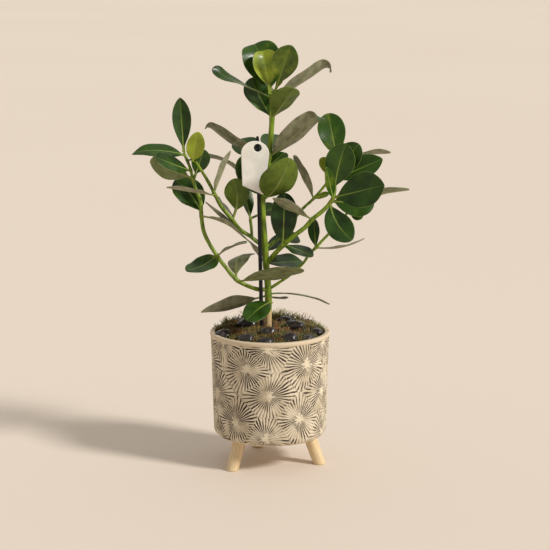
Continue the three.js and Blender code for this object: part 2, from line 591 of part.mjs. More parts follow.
function makeStake(extra) {
  const middle = STAKE_FOOT.clone().lerp(STAKE_TOP, 0.5);
  const radii = [STAKE_RADIUS, STAKE_RADIUS, STAKE_RADIUS * 0.75];
  return taperedTube([STAKE_FOOT, middle, STAKE_TOP], radii, 12, 2, extra);
}

const loopMiddle = STAKE_FOOT.clone().lerp(STAKE_TOP, LOOP_PLACE);
const tagPlane = loopMiddle.y - LOOP_RADIUS * 0.8;

function makeLoop() {
  const ring = new THREE.TorusGeometry(LOOP_RADIUS, LOOP_WIRE_RADIUS, 8, 20);
  ring.translate(loopMiddle.x, loopMiddle.y, loopMiddle.z);
  return solidOf(ring);
}

function makeTag() {
  const w = TAG_WIDTH / 2;
  const shoulder = TAG_HEIGHT * 0.24;
  const corner = 2;
  const foot = w * 0.8;
  const edge = [];
  for (let i = 0; i <= 12; i++) {
    const a = (Math.PI * i) / 12;
    edge.push(new THREE.Vector2(w * Math.cos(a), shoulder * (Math.sin(a) - 1)));
  }
  edge.push(new THREE.Vector2(-foot, corner - TAG_HEIGHT + TAG_SLANT));
  edge.push(new THREE.Vector2(corner - foot, -TAG_HEIGHT + TAG_SLANT));
  edge.push(new THREE.Vector2(foot - corner, -TAG_HEIGHT));
  edge.push(new THREE.Vector2(foot, corner - TAG_HEIGHT));
  const hole = [];
  for (let i = 0; i < 16; i++) {
    const a = (-2 * Math.PI * i) / 16;
    const x = TAG_HOLE_OFFSET + TAG_HOLE_RADIUS * Math.cos(a);
    hole.push(new THREE.Vector2(x, TAG_HOLE_RADIUS * Math.sin(a) - TAG_HOLE_RADIUS - 3));
  }
  const outline = new THREE.Shape(edge);
  outline.holes.push(new THREE.Path(hole));
  const card = new THREE.ExtrudeGeometry(outline, {
    depth: TAG_THICKNESS,
    bevelEnabled: false,
  });
  card.translate(-TAG_HOLE_OFFSET, TAG_HOLE_RADIUS + 3, -TAG_THICKNESS / 2);
  card.rotateX(Math.PI / 2);
  card.rotateY(THREE.MathUtils.degToRad(TAG_TILT));
  card.translate(loopMiddle.x, tagPlane, loopMiddle.z);
  return solidOf(card);
}

// ---------------------------------------------------------------- assembly
const FINISH = {
  clay: { color: 0xc9b794, roughness: 0.75 },
  wood: { color: 0xe0be8c, roughness: 0.55 },
  soil: { color: 0x3a2a1c, roughness: 0.95 },
  moss: { color: 0x6b6420, roughness: 0.95 },
  pebble: { color: 0x1e1a1c, roughness: 0.25 },
  stem: { color: 0x7d9a1e, roughness: 0.5 },
  leaf: { color: 0x2f5a12, roughness: 0.35 },
  plastic: { color: 0x14181c, roughness: 0.4 },
  card: { color: 0xf3eee0, roughness: 0.6 },
};

const part = new THREE.Group();
part.name = "potted_clusia";

function add(name, body, finish) {
  const material = new THREE.MeshStandardMaterial({ metalness: 0, ...FINISH[finish] });
  const mesh = new THREE.Mesh(geometryOf(body), material);
  mesh.name = name;
  part.add(mesh);
}

const stake = makeStake(0);
const stakeRoom = makeStake(GAP);
const stems = {};
const stemRoom = {};
for (const name of Object.keys(STEMS)) {
  const { parent, joined } = STEMS[name];
  const tube = stemTube(name, 0);
  stemRoom[name] = stemTube(name, GAP);
  if (joined) stems[parent] = stems[parent].add(tube);
  else stems[name] = parent ? biggest(tube.subtract(stemRoom[parent])) : tube;
}

const soilRoom = soilBlank.translate(0, 0, GAP);
add("pot", makePot(), "clay");
PEG_ANGLES.forEach((angle, i) => add(`peg_${i + 1}`, makePeg(angle), "wood"));
let moss = mossBlank.subtract(stemRoom.main_stem).subtract(stakeRoom);
for (const [name, middle, half, turn] of PEBBLES) {
  const rest = biggest(makePebble(middle, half, turn, 0).subtract(soilRoom));
  add(name, rest, "pebble");
  moss = moss.subtract(makePebble(middle, half, turn, GAP));
}
add("soil", soilBlank.subtract(stemRoom.main_stem).subtract(stakeRoom), "soil");
add("moss", biggest(moss), "moss");
add("stake", stake, "plastic");
add("tag_loop", makeLoop(), "plastic");
add("tag", makeTag(), "card");

for (const row of LEAVES) {
  const [name, stem, , , , , shape] = row;
  const blade = makeLeaf(row);
  const host = STEMS[stem].joined ? STEMS[stem].parent : stem;
  if (shape.joined) stems[host] = stems[host].add(blade);
  else add(name, biggest(blade.subtract(stemRoom[stem])), "leaf");
}
for (const name of Object.keys(stems)) add(name, stems[name], "stem");

export default part;
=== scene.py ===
"""A potted clusia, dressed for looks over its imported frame.

A shrub with thick waxy leaves in pairs, in a round carved clay pot on three wooden pegs, with
moss and polished pebbles over the soil, a plastic stake and a blank card tag on a loop.
Sizes are in millimetres up to the last step, which turns each mesh to metres.
"""
import json
import math

import bpy
import numpy as np
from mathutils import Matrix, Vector

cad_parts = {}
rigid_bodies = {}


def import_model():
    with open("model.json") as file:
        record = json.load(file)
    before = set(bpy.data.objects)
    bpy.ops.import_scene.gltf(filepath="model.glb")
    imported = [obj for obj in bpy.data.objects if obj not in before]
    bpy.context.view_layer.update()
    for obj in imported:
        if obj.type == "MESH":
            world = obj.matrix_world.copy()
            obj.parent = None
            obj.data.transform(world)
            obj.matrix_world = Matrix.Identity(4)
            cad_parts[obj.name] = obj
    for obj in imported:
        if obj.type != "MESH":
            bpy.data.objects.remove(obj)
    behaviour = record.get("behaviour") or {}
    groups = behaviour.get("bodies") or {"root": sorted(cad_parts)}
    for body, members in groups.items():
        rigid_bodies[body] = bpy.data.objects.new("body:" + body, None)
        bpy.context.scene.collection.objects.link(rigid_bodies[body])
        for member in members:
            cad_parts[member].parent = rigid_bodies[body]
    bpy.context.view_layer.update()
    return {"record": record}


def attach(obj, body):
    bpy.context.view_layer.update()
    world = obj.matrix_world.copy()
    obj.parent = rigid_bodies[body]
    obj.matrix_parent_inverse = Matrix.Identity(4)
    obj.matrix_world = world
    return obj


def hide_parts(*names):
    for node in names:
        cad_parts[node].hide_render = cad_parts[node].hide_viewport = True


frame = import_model()
slot_of = {s["node"]: s["material_slot"] for s in frame["record"]["subparts"]}

# ------------------------------------------------------------------ the pot's and plant's sizes, mm
RIM_HEIGHT = 152
POT_LIFT = 32
RIM_RADIUS = 67.5
BODY_TOP_RADIUS = RIM_RADIUS - 0.5
BODY_FOOT_RADIUS = BODY_TOP_RADIUS - 3
LIP_BAND = 4
POT_WALL = 5
POT_FLOOR = 6
BOTTOM_CORNER = 10
INNER_CORNER = 7
PEG_SPREAD = BODY_FOOT_RADIUS - 6
PEG_SPLAY = math.radians(20)
PEG_TOP_RADIUS = 7.5
PEG_FOOT_RADIUS = 6.8
PEG_ANGLES = [-14, 105, 223]
GAP = 0.3
SOIL_EDGE = RIM_HEIGHT - 10
SOIL_CROWN = 10
SOIL_BOTTOM = POT_LIFT + POT_FLOOR + GAP + 8
MOSS_DEPTH = 4.5
MOSS_BACK_RISE = 9
ROOT_DEPTH = 14
PLANT_BASE = SOIL_EDGE + SOIL_CROWN + MOSS_DEPTH + 1.5
BED_RADIUS = 61.5
SOIL_RADIUS = BED_RADIUS - 2.4
MAT_BOTTOM = SOIL_EDGE + 0.6
LEAF_THICKNESS = 1.2
PETIOLE_THICKNESS = 2.2
PETIOLE_WIDTH = 3
TIP_ROUNDNESS = 0.56
STAKE_RADIUS = 2.2
TAG_WIDTH = 31
TAG_HEIGHT = 59
TAG_THICKNESS = 0.9
TAG_HOLE_RADIUS = 4.4
TAG_HOLE_OFFSET = 2.5
TAG_HOLE_MARGIN = 3
TAG_SLANT = 8
TAG_TILT = math.radians(3)
LOOP_RADIUS = 4.3
LOOP_WIRE_RADIUS = 1
LOOP_PLACE = 0.945

# ------------------------------------------------------------------ how the plant grows
# Each stem: its points from foot to tip, from the pot's axis and PLANT_BASE up, and its radii.
STEMS = {
    "main_stem": {
        "points": [
            [-2, 6, -ROOT_DEPTH], [-2, 6, 6], [-2, 5, 38], [-4.4, 3, 70], [-5.5, 2, 89], [-7.7, 0, 125],
            [-8.2, 0, 142], [-2.5, 0, 178], [-1, 0, 190], [2.4, 2, 233], [2.4, 2, 256], [2.6, 2, 262],
        ],
        "radii": [4, 4, 3.9, 3.6, 3.5, 3.3, 3.2, 3, 3, 2.9, 2.9, 2.6],
    },
    "left_arching_stem": {
        "parent": "main_stem",
        "points": [
            [-2, 5, 40], [-13.4, 1, 41], [-22.4, -2, 44.5], [-37, -6, 53], [-50.5, -9, 69.5],
            [-58.7, -10, 81],
            [-67.9, -10, 96], [-73.5, -10, 109], [-76, -9, 125.6], [-77, -8, 143], [-82.6, -6, 157.4],
            [-85.3, -5, 167], [-88, -4, 178], [-95.3, 0, 196],
        ],
        "radii": [2.4, 2.4, 2.3, 2.3, 2.2, 2.2, 2.2, 2.2, 2.1, 2.1, 2, 1.9, 1.7, 1.5],
    },
    "left_upright_stem": {
        "parent": "main_stem",
        "points": [
            [-5.5, 2, 89], [-13.2, 3.5, 94], [-22.2, 2, 101.5], [-32.2, 0, 108.4], [-42.2, -3, 121],
            [-54.5, -6, 137], [-60.5, -8, 149], [-67.6, -10, 163.5], [-74.8, -12, 176], [-82, -14, 187.5],
        ],
        "radii": [2.2, 2.2, 2.2, 2.2, 2.3, 2.1, 2, 1.8, 1.7, 1.5],
    },
    "left_spur_stem": {
        "parent": "left_upright_stem",
        "joined": True,
        "points": [[-20.2, 2.4, 100], [-20.5, 3, 108], [-22, 3, 121]],
        "radii": [1.7, 1.6, 1.6],
    },
    "right_stem": {
        "parent": "main_stem",
        "points": [
            [-4.4, 3, 70], [2.3, 0, 78], [14.6, -3, 92], [28, -6, 104], [39, -8, 113], [47, -9, 122],
            [60.3, -10, 133.5], [68, -10, 142.5], [70.6, -10, 148], [72.3, -6, 165], [74.5, -2, 189],
        ],
        "radii": [2.7, 2.7, 2.7, 2.6, 2.5, 2.5, 2.3, 2.2, 2, 1.8, 1.5],
    },
    "right_thin_stem": {
        "parent": "main_stem",
        "points": [
            [-5.5, 2, 89], [5.7, 6, 95], [22.4, 10, 113.5], [36.9, 12, 131], [49.1, 12, 142.5],
            [61.3, 12, 157], [72.3, 12, 172],
        ],
        "radii": [1.7, 1.7, 1.6, 1.6, 1.6, 1.5, 1.4],
    },
    "right_low_stem": {
        "parent": "main_stem",
        "points": [
            [-2, 5, 40], [6.8, 3, 46], [23.7, 1, 58.4], [37.2, 0, 71], [45, 0, 82.5], [51.6, 0, 88.8],
            [59.2, 2, 97], [70.4, 4, 108.3], [84, 5, 124], [94.5, 6, 138],
        ],
        "radii": [1.8, 1.7, 1.6, 1.6, 1.6, 1.7, 1.5, 1.5, 1.4, 1.3],
    },
}
# Each leaf: name, stem, place along the stem counted in its points, reach from foot to tip, width of
# the blade, the way its upper side faces, and how it curves, as make_leaf says.
LEAVES = [
    # crown
    ("crown_leaf_back", "main_stem", 11, (-19, 17, 54), 44, (0.2, -1, 0.3),
     dict(fold=0.25, curl=45, curled=0.25, sway=-0.02, foot=(-1, 3.1, 0.3), belly=0.62, tip=0.46)),
    ("crown_leaf_inner", "main_stem", 11, (-8, 7, 48), 29, (0.15, -1, 0.1),
     dict(fold=0.55, curl=40, foot=(-2.4, -1.8, -2), stalk=0.2, belly=0.62)),
    ("crown_leaf_right", "main_stem", 11, (18, -15, 54), 29, (0, -1, 0.25),
     dict(fold=0.25, foot=(2.4, -1.4, -1), stalk=0.2, belly=0.62, tip=0.66)),
    ("crown_leaf_far_left", "main_stem", 10, (-66, -10, 31), 20, (0.3, 0.12, 1),
     dict(hook=0.05, fold=0.1, twist=75, belly=0.68, tip=0.42)),
    ("crown_leaf_far_right", "main_stem", 9.8, (68, 10, 45), 28, (-0.45, 0.5, 0.75),
     dict(curl=150, curled=0.18, fold=0.25, belly=0.55, foot=(0, 1.5, 0))),
    ("crown_leaf_low_left", "main_stem", 9, (-24, 24, 43), 36, (0.25, -0.75, 0.6),
     dict(fold=0.25, bend=-0.04, tip=0.72, belly=0.6)),
    ("crown_leaf_low_right", "main_stem", 9, (24, -26, 36), 33, (-0.3, 0.75, 0.55),
     dict(fold=0.3, belly=0.6, tip=0.66)),
    ("crown_leaf_bud", "main_stem", 10.4, (12, 10, 20), 8, (-0.5, -0.8, 0.3),
     dict(fold=0.3, joined=True, stalk=0.4)),
    # middle of the main stem
    ("mid_leaf_left", "main_stem", 8, (-72, 17, 40), 27, (0.35, 0.5, 0.8),
     dict(bend=-0.055, curl=120, curled=0.14, fold=0.15, belly=0.5)),
    ("mid_leaf_right", "main_stem", 8, (60, -22, 56), 31, (-0.4, 0.75, 0.5),
     dict(curl=150, curled=0.18, fold=0.25, belly=0.55)),
    ("mid_leaf_back_left", "main_stem", 7.3, (-35, 42, 23), 32, (0.2, -0.75, 0.6),
     dict(joined=True, fold=0.15, foot=(0, 2, 0), stalk=0.3)),
    ("mid_leaf_back", "main_stem", 8.2, (4, 40, 14), 26, (0, -0.7, 0.7), dict(joined=True, fold=0.2)),
    ("mid_leaf_back_right", "main_stem", 7, (19, 20, 15), 24, (-0.3, -0.6, 0.7),
     dict(fold=0.2, joined=True)),
    ("mid_leaf_front", "main_stem", 6, (30, -34, 52), 42, (-0.25, 0.85, 0.45),
     dict(bend=-0.13, fold=0.2, belly=0.5, stalk=0.16, tip=0.6)),
    ("mid_leaf_behind_tag", "main_stem", 6.1, (-24, 2, 46), 30, (0.15, -0.98, 0.1), dict(fold=0.1)),
    # left upright stem and its spur
    ("left_leaf_olive", "left_upright_stem", 4, (1, -3, 46), 28, (0, 0.9, 0.4),
     dict(sway=0.12, fold=0.1, stalk=0.25)),
    ("left_leaf_spur_up", "left_spur_stem", 2, (-9, 12, 38), 18, (0.6, -0.7, 0.2),
     dict(joined=True, fold=0.3)),
    ("left_leaf_spur_right", "left_spur_stem", 2, (31.6, 24, 11), 22, (0, -0.6, 0.8),
     dict(joined=True, stalk=0.3, fold=0.1)),
    ("left_leaf_pale", "left_upright_stem", 6, (-51.6, -40, 14.6), 26, (0.1, 0.3, 0.95),
     dict(fold=0.15, tip=0.85)),
    ("left_leaf_droop", "left_upright_stem", 6, (19, 28, -28), 24, (0.35, -0.35, 0.87),
     dict(joined=True, fold=0.1)),
    ("left_leaf_slim", "left_upright_stem", 6.2, (19, -9, 48), 18, (-0.85, 0.35, 0.3),
     dict(fold=0.3, belly=0.5)),
    ("left_leaf_yellow", "left_upright_stem", 9, (7, -12, 34), 20, (0.1, -1, 0.2),
     dict(fold=0.25, foot=(-3, 0, 0), belly=0.5)),
    ("left_leaf_long", "main_stem", 3.6, (-66, -20, 62), 23, (0.5, 0.25, 0.8),
     dict(stalk=0.36, fold=0.15, belly=0.5, bend=-0.02)),
    ("left_leaf_band", "main_stem", 2.9, (-19, 8, 27), 16, (0.6, 0.3, 0.6), dict(fold=0.1, joined=True)),
    # left arching stem
    ("arch_leaf_upright", "left_arching_stem", 13, (-4, 6, 60), 21, (0.1, -1, 0.1),
     dict(fold=0.5, belly=0.58, tip=0.75)),
    ("arch_leaf_far_left", "left_arching_stem", 12.7, (-59, -9, 5), 24, (0.05, -0.52, 0.85),
     dict(bend=0.08, hook=-0.05, fold=0.1, belly=0.45, tip=0.9, foot=(0, 1, 1.4))),
    ("arch_leaf_across", "left_arching_stem", 12.5, (58.8, 30, -20), 22, (0.1, 0, 1),
     dict(bend=0.16, fold=0.3, belly=0.5)),
    ("arch_leaf_glossy", "left_arching_stem", 11.9, (-37, -31, 19), 25, (-0.05, -0.72, 0.68),
     dict(fold=0.1, foot=(0, -2.4, -1))),
    ("arch_leaf_olive", "left_arching_stem", 11, (-48, 13, 19), 36, (0.3, 0.85, 0.42),
     dict(fold=0.12, belly=0.6, tip=0.8)),
    ("arch_leaf_right", "left_arching_stem", 10.8, (12, -1, 35), 21, (0.35, -0.9, 0.2),
     dict(joined=True, fold=0.2, stalk=0.24)),
    ("arch_leaf_shaded", "left_arching_stem", 8.2, (-30, 25, 34), 34, (0.3, -0.85, 0.4),
     dict(fold=0.15, sway=-0.07)),
    ("arch_leaf_thin", "left_arching_stem", 8, (49, -41, -18), 17, (0.3, 0.5, 0.8),
     dict(bend=0.08, stalk=0.12, fold=0.2)),
    ("arch_leaf_dark", "left_arching_stem", 5, (33, -24, 19), 18, (-0.2, 0.05, 0.95),
     dict(joined=True, bend=0.06, stalk=0.15, fold=0.2)),
    ("arch_leaf_low_left", "left_arching_stem", 5, (-34, -24, -12), 27, (-0.1, -0.5, 0.85),
     dict(bend=-0.09, fold=0.1, belly=0.38, stalk=0.04)),
    ("arch_leaf_curled", "left_arching_stem", 3.05, (15, 38, 20), 33, (0.5, 0.75, -0.2),
     dict(bend=-0.26, fold=0.1, belly=0.6, foot=(0, 1.6, 0.5))),
    ("arch_leaf_low_right", "left_arching_stem", 2.9, (72, -38, 21), 32, (-0.1, 0.6, 0.8),
     dict(fold=0.1, foot=(0.5, -1.6, -0.5))),
    ("low_leaf_behind", "main_stem", 3, (41, 25, -2), 28, (0, -0.5, 0.87), dict(joined=True, fold=0.15)),
    # lowest pairs
    ("low_leaf_left", "main_stem", 1.85, (-76, -8, -18), 29, (-0.05, 0.66, 0.75),
     dict(stalk=0.18, fold=0.15, belly=0.48, tip=0.95)),
    ("low_leaf_right", "main_stem", 1.9, (70, 15, -15), 24, (0.2, 0.2, 0.98),
     dict(bend=0.07, stalk=0.15, fold=0.05, tip=0.95, belly=0.5)),
    ("low_leaf_back", "main_stem", 1.8, (18, 38, -10), 22, (0, 0.1, 1), dict(joined=True, fold=0.15)),
    ("low_leaf_front", "main_stem", 1.6, (-28, -38, -13), 26, (-0.15, -0.85, 0.5),
     dict(stalk=0.14, fold=0.1, foot=(3.6, -3, 1), bend=0.1, belly=0.58, tip=0.5)),
    # right stem
    ("right_leaf_upright", "right_stem", 10, (-10, 14, 49), 31, (0.1, -1, 0.2), dict(fold=0.15, belly=0.6)),
    ("right_leaf_dark", "right_stem", 8.5, (12, -5, 52), 33, (0, -1, 0.15),
     dict(fold=0.25, foot=(0, -1.2, 0), tip=0.66, sway=0.03)),
    ("right_leaf_broad", "right_stem", 7.8, (55, -30, 18), 40, (-0.1, -0.95, 0.35),
     dict(fold=0.16, tip=0.66)),
    ("right_leaf_side", "right_stem", 7.6, (-8, -14, 37), 14, (0.6, -0.8, 0.1),
     dict(joined=True, fold=0.2, belly=0.5)),
    ("right_leaf_young", "right_stem", 9.2, (-17, -3, 21), 15, (0, -0.9, 0.4), dict(joined=True, fold=0.2)),
    ("right_leaf_shaded", "right_stem", 7, (48, 4, -3), 32, (0.05, -0.95, 0.3), dict(fold=0.1)),
    ("right_leaf_hanging", "right_stem", 6.8, (24, -24, -38), 30, (0, -0.85, 0.5),
     dict(sway=-0.1, fold=0.1)),
    ("right_leaf_glossy", "right_stem", 2, (2, 8, 58), 30, (0, -0.95, 0.3),
     dict(fold=0.15, bend=0.03, belly=0.54)),
    ("right_leaf_inward", "right_stem", 5, (-44, -18, 27), 19, (0.3, 0.65, 0.65), dict(fold=0.15, tip=0.8)),
    ("right_leaf_gloss_low", "right_stem", 2, (32, -25, -9), 24, (0.1, -0.3, 0.95),
     dict(joined=True, fold=0.1, bend=0.04)),
    ("right_leaf_tucked", "right_stem", 2.3, (12, 20, 4), 18, (0.2, -0.8, 0.5),
     dict(joined=True, fold=0.2)),
    # right thin stem
    ("thin_leaf_slim", "right_thin_stem", 4, (-24, -10, 49), 22, (0.75, 0.4, 0.4),
     dict(fold=0.3, hook=0.04)),
    ("thin_leaf_bud", "right_thin_stem", 4, (17, -5, 6), 10, (0, -0.6, 0.8), dict(joined=True, fold=0.2)),
    ("thin_leaf_olive", "right_thin_stem", 5.7, (30, -2, 37), 28, (0.1, -0.97, 0.2),
     dict(joined=True, fold=0.15, foot=(0, -1, 0))),
    ("thin_leaf_pointed", "right_thin_stem", 5.6, (58, 0, 25), 27, (0.15, -0.85, 0.45),
     dict(fold=0.25, foot=(0, 0, -4), tip=0.8)),
    ("thin_leaf_grey", "right_thin_stem", 6, (65, 32, 17), 23, (-0.2, 0.4, 0.9),
     dict(bend=0.09, fold=0.15, belly=0.5, foot=(0, 1.5, 1.2), stalk=0.15, tip=0.9)),
    ("thin_leaf_low", "main_stem", 3.7, (21, 30, 14), 15, (0.2, -0.6, 0.75),
     dict(joined=True, fold=0.1, foot=(0, 2, 0))),
    # right low stem
    ("low_stem_leaf_up", "right_low_stem", 5, (-2, 12, 30), 15, (-0.5, -0.8, 0.2),
     dict(joined=True, fold=0.35)),
    ("low_stem_leaf_right", "right_low_stem", 5, (55, 12, 8.5), 22, (0, 0.25, 0.97),
     dict(bend=-0.08, fold=0.1, tip=0.95, belly=0.5)),
    ("low_stem_leaf_tip", "right_low_stem", 9, (62, 8, 14), 22, (-0.1, 0.45, 0.88),
     dict(bend=0.06, fold=0.15, belly=0.55, tip=0.7)),
    ("low_stem_leaf_bud", "right_low_stem", 8.5, (14, -4, -9), 14, (0.1, -0.9, 0.3),
     dict(joined=True, fold=0.2)),
]

# How young a leaf's upper side is, from 0, deep green, to 1, fresh yellow-green.
YOUTH = {
    "crown_leaf_inner_blade": 0.8, "crown_leaf_right_blade": 0.6, "crown_leaf_bud_blade": 0.6,
    "left_leaf_yellow_blade": 0.95, "right_leaf_young_blade": 0.9, "right_leaf_side_blade": 0.5,
    "crown_leaf_back_blade": 0.4, "mid_leaf_behind_tag_blade": 0.45, "low_leaf_front_blade": 0.3,
    "right_leaf_upright_blade": 0.42, "right_leaf_glossy_blade": 0.1, "thin_leaf_bud_blade": 0.6,
}

# How green a leaf's underside is, from 0, dull taupe, to 1, olive green.
OLIVE = {
    "mid_leaf_front_blade": 1.0, "left_leaf_olive_blade": 1.0, "arch_leaf_olive_blade": 0.7,
    "crown_leaf_low_right_blade": 0.95, "arch_leaf_low_right_blade": 0.55, "arch_leaf_curled_blade": 0.5,
    "low_stem_leaf_tip_blade": 0.4, "crown_leaf_far_left_blade": 0.6, "mid_leaf_left_blade": 0.25,
}


# ------------------------------------------------------------------ working with arrays
def unit(v):
    """Each vector of an array, divided by its own length."""
    v = np.asarray(v, float)
    return v / np.maximum(np.linalg.norm(v, axis=-1, keepdims=True), 1e-12)


def smooth_step(x, low, high):
    """0 below low, 1 above high, and 3s^2 - 2s^3 between, with s the share of the way."""
    s = np.clip((x - low) / (high - low), 0, 1)
    return s * s * (3 - 2 * s)


def ripple(points, size, seed):
    """Soft uneven noise in -1..1: the mean of seven sine waves with random directions and phases,
    each about size millimetres long."""
    dice = np.random.default_rng(seed)
    directions = unit(dice.normal(size=(7, 3))) * dice.uniform(0.6, 1.7, (7, 1))
    phases = dice.uniform(0, 2 * np.pi, 7)
    return np.sin(points @ directions.T * 2 * np.pi / size + phases).mean(-1) * 1.6


def spline(points, share):
    """A smooth curve through the points: a cubic on each span whose end slopes come from the
    neighbouring points, weighted by the square roots of the spans' lengths."""
    p = np.asarray(points, float)
    p = np.vstack([2 * p[0] - p[1], p, 2 * p[-1] - p[-2]])
    place = np.clip(np.asarray(share, float), 0, 1) * (len(p) - 3)
    k = np.minimum(place.astype(int), len(p) - 4)
    w = (place - k)[..., None]
    gap = np.sqrt(np.linalg.norm(np.diff(p, axis=0), axis=1))
    d0, d1, d2 = (gap[k + i][..., None] for i in range(3))
    a, b, c, d = (p[k + i] for i in range(4))
    leave = ((b - a) / d0 - (c - a) / (d0 + d1) + (c - b) / d1) * d1
    reach = ((c - b) / d1 - (d - b) / (d1 + d2) + (d - c) / d2) * d1
    return (b + leave * w + (3 * (c - b) - 2 * leave - reach) * w ** 2
            + (2 * (b - c) + leave + reach) * w ** 3)


# ------------------------------------------------------------------ from arrays to pieces
def make_piece(name, points, quads, triangles=(), marks=None, uv=None):
    """A mesh piece from points in millimetres and faces given as point numbers. If the closed
    skin's volume (the sum of a . (b x c) / 6 over its triangles) is negative, every face is
    turned round. marks are numbers kept at each point, and uv is the position of each face
    corner on the unrolled surface, in metres."""
    points = np.asarray(points, float) / 1000
    quads = np.asarray(quads, int).reshape(-1, 4)
    triangles = np.asarray(triangles, int).reshape(-1, 3)
    halves = np.vstack([quads[:, [0, 1, 2]], quads[:, [0, 2, 3]], triangles])
    a, b, c = (points[halves[:, i]] for i in range(3))
    flip = np.einsum("ij,ij->", a, np.cross(b, c)) < 0
    if flip:
        quads, triangles = quads[:, ::-1], triangles[:, ::-1]
        if uv is not None:
            uv = (uv[0][:, ::-1], uv[1][:, ::-1])
    mesh = bpy.data.meshes.new(name)
    mesh.from_pydata(points, [], quads.tolist() + triangles.tolist())
    mesh.polygons.foreach_set("use_smooth", np.ones(len(mesh.polygons), bool))
    for mark, values in (marks or {}).items():
        attribute = mesh.attributes.new(mark, "FLOAT", "POINT")
        attribute.data.foreach_set("value", np.asarray(values, np.float32).ravel())
    if uv is not None:
        corners = np.concatenate([uv[0].reshape(-1, 2), uv[1].reshape(-1, 2)])
        layer = mesh.uv_layers.new(name="unrolled")
        layer.data.foreach_set("uv", corners.astype(np.float32).ravel())
    mesh.update()
    piece = bpy.data.objects.new(name, mesh)
    bpy.context.scene.collection.objects.link(piece)
    return piece


def ring_faces(rows, ring, poles=True, loop=False):
    """Faces between rows of ring points each: a quad per gap, and a fan of triangles to a pole
    point past each end, numbered after the rows. loop joins the last row to the first instead."""
    i, j = np.meshgrid(np.arange(rows if loop else rows - 1), np.arange(ring), indexing="ij")
    i, j = i.ravel(), j.ravel()
    next_i, next_j = (i + 1) % rows, (j + 1) % ring
    quads = np.stack([i * ring + j, i * ring + next_j, next_i * ring + next_j, next_i * ring + j], 1)
    k = np.arange(ring)
    after = (k + 1) % ring
    last = (rows - 1) * ring
    fan_in = np.stack([np.full(ring, rows * ring), after, k], 1)
    fan_out = np.stack([np.full(ring, rows * ring + 1), last + k, last + after], 1)
    return quads, (np.vstack([fan_in, fan_out]) if poles and not loop else np.zeros((0, 3), int))


def ring_uv(grid_uv, rows, ring):
    """Face corners' unrolled places for ring_faces, from a grid with one column more than the ring,
    so that the pattern runs on across the seam. The end fans take their rims' places."""
    i, j = np.meshgrid(np.arange(rows - 1), np.arange(ring), indexing="ij")
    i, j = i.ravel(), j.ravel()
    quads = np.stack([grid_uv[i, j], grid_uv[i, j + 1], grid_uv[i + 1, j + 1], grid_uv[i + 1, j]], 1)
    k = np.arange(ring)
    first, last = grid_uv[0], grid_uv[-1]
    fan_in = np.stack([first[k], first[k + 1], first[k]], 1)
    fan_out = np.stack([last[k], last[k], last[k + 1]], 1)
    return quads, np.concatenate([fan_in, fan_out])


def ring_piece(name, rings, start, end, marks=None, grid_uv=None):
    """A closed skin over rows of rings, with a pole point at each end. A mark at a pole is the mean
    of its end ring."""
    rows, ring = rings.shape[:2]
    points = np.vstack([rings.reshape(-1, 3), [start, end]])
    quads, fans = ring_faces(rows, ring)
    full = {k: np.append(np.asarray(m, float).ravel(), [np.mean(m[0]), np.mean(m[-1])])
            for k, m in (marks or {}).items()}
    uv = None if grid_uv is None else ring_uv(grid_uv, rows, ring)
    return make_piece(name, points, quads, fans, full, uv)


def turned_piece(name, profile, segments, marks=None, shift=None):
    """A profile of (radius, height) points carried round the Z axis. The first and last points
    lie on the axis and become poles. shift moves the skin outwards, one number per point."""
    profile = np.asarray(profile, float)
    turn = np.linspace(0, 2 * np.pi, segments, endpoint=False)
    radius = profile[1:-1, None, 0] + (0 if shift is None else shift)
    height = np.broadcast_to(profile[1:-1, None, 1], (len(profile) - 2, segments))
    rings = np.stack([radius * np.cos(turn), radius * np.sin(turn), height], -1)
    return ring_piece(name, rings, [0, 0, profile[0, 1]], [0, 0, profile[-1, 1]], marks)


def swept_piece(name, path, radius, sides, marks=None):
    """A round section carried along a path: each ring is centre + radius (A cos q + B sin q), with
    A the Y axis made square to the path and B square to both. The ends are closed by domes."""
    along = unit(np.gradient(path, axis=0))
    a = unit(np.array([0, 1.0, 0]) - along * along[:, 1:2])
    b = np.cross(along, a)
    turn = np.linspace(0, 2 * np.pi, sides + 1)
    wheel = (np.cos(turn)[None, :, None] * a[:, None] + np.sin(turn)[None, :, None] * b[:, None])
    rings = path[:, None] + wheel * np.asarray(radius)[:, None, None]
    length = np.append(0, np.cumsum(np.linalg.norm(np.diff(path, axis=0), axis=1)))
    around = np.mean(radius) * turn
    grid_uv = np.stack(np.broadcast_arrays(around[None], length[:, None]), -1) / 1000
    full = {k: np.broadcast_to(np.asarray(v)[:, None], (len(path), sides)) for k, v in (marks or {}).items()}
    return ring_piece(name, rings[:, :-1], path[0], path[-1], full, grid_uv)


def domed(share, radius, dome):
    """The radius along a path with both ends rounded off: multiplied by sqrt(1 - (1 - s)^2) over
    the last dome share at each end."""
    edge = np.clip(np.minimum(share, 1 - share) / dome, 0, 1)
    return radius * np.sqrt(np.maximum(1 - (1 - edge) ** 2, 0.0004))


# ------------------------------------------------------------------ materials
def colour(code):
    """A six digit sRGB colour turned to linear light, with full opacity."""
    parts = [int(code[i:i + 2], 16) / 255 for i in (1, 3, 5)]
    return (*[c / 12.92 if c <= 0.04045 else ((c + 0.055) / 1.055) ** 2.4 for c in parts], 1)


def fill(node, inputs):
    """Sets each named or numbered input of a node to a value, or links another node's output to it."""
    for socket, value in inputs.items():
        if isinstance(value, bpy.types.NodeSocket):
            node.id_data.links.new(value, node.inputs[socket])
        else:
            node.inputs[socket].default_value = value


def add(tree, kind, inputs, out=0, **settings):
    """Adds one node with its settings and with its inputs filled, and gives back its output."""
    node = tree.nodes.new("ShaderNode" + kind)
    for name, value in settings.items():
        setattr(node, name, value)
    fill(node, inputs)
    return node.outputs[out]


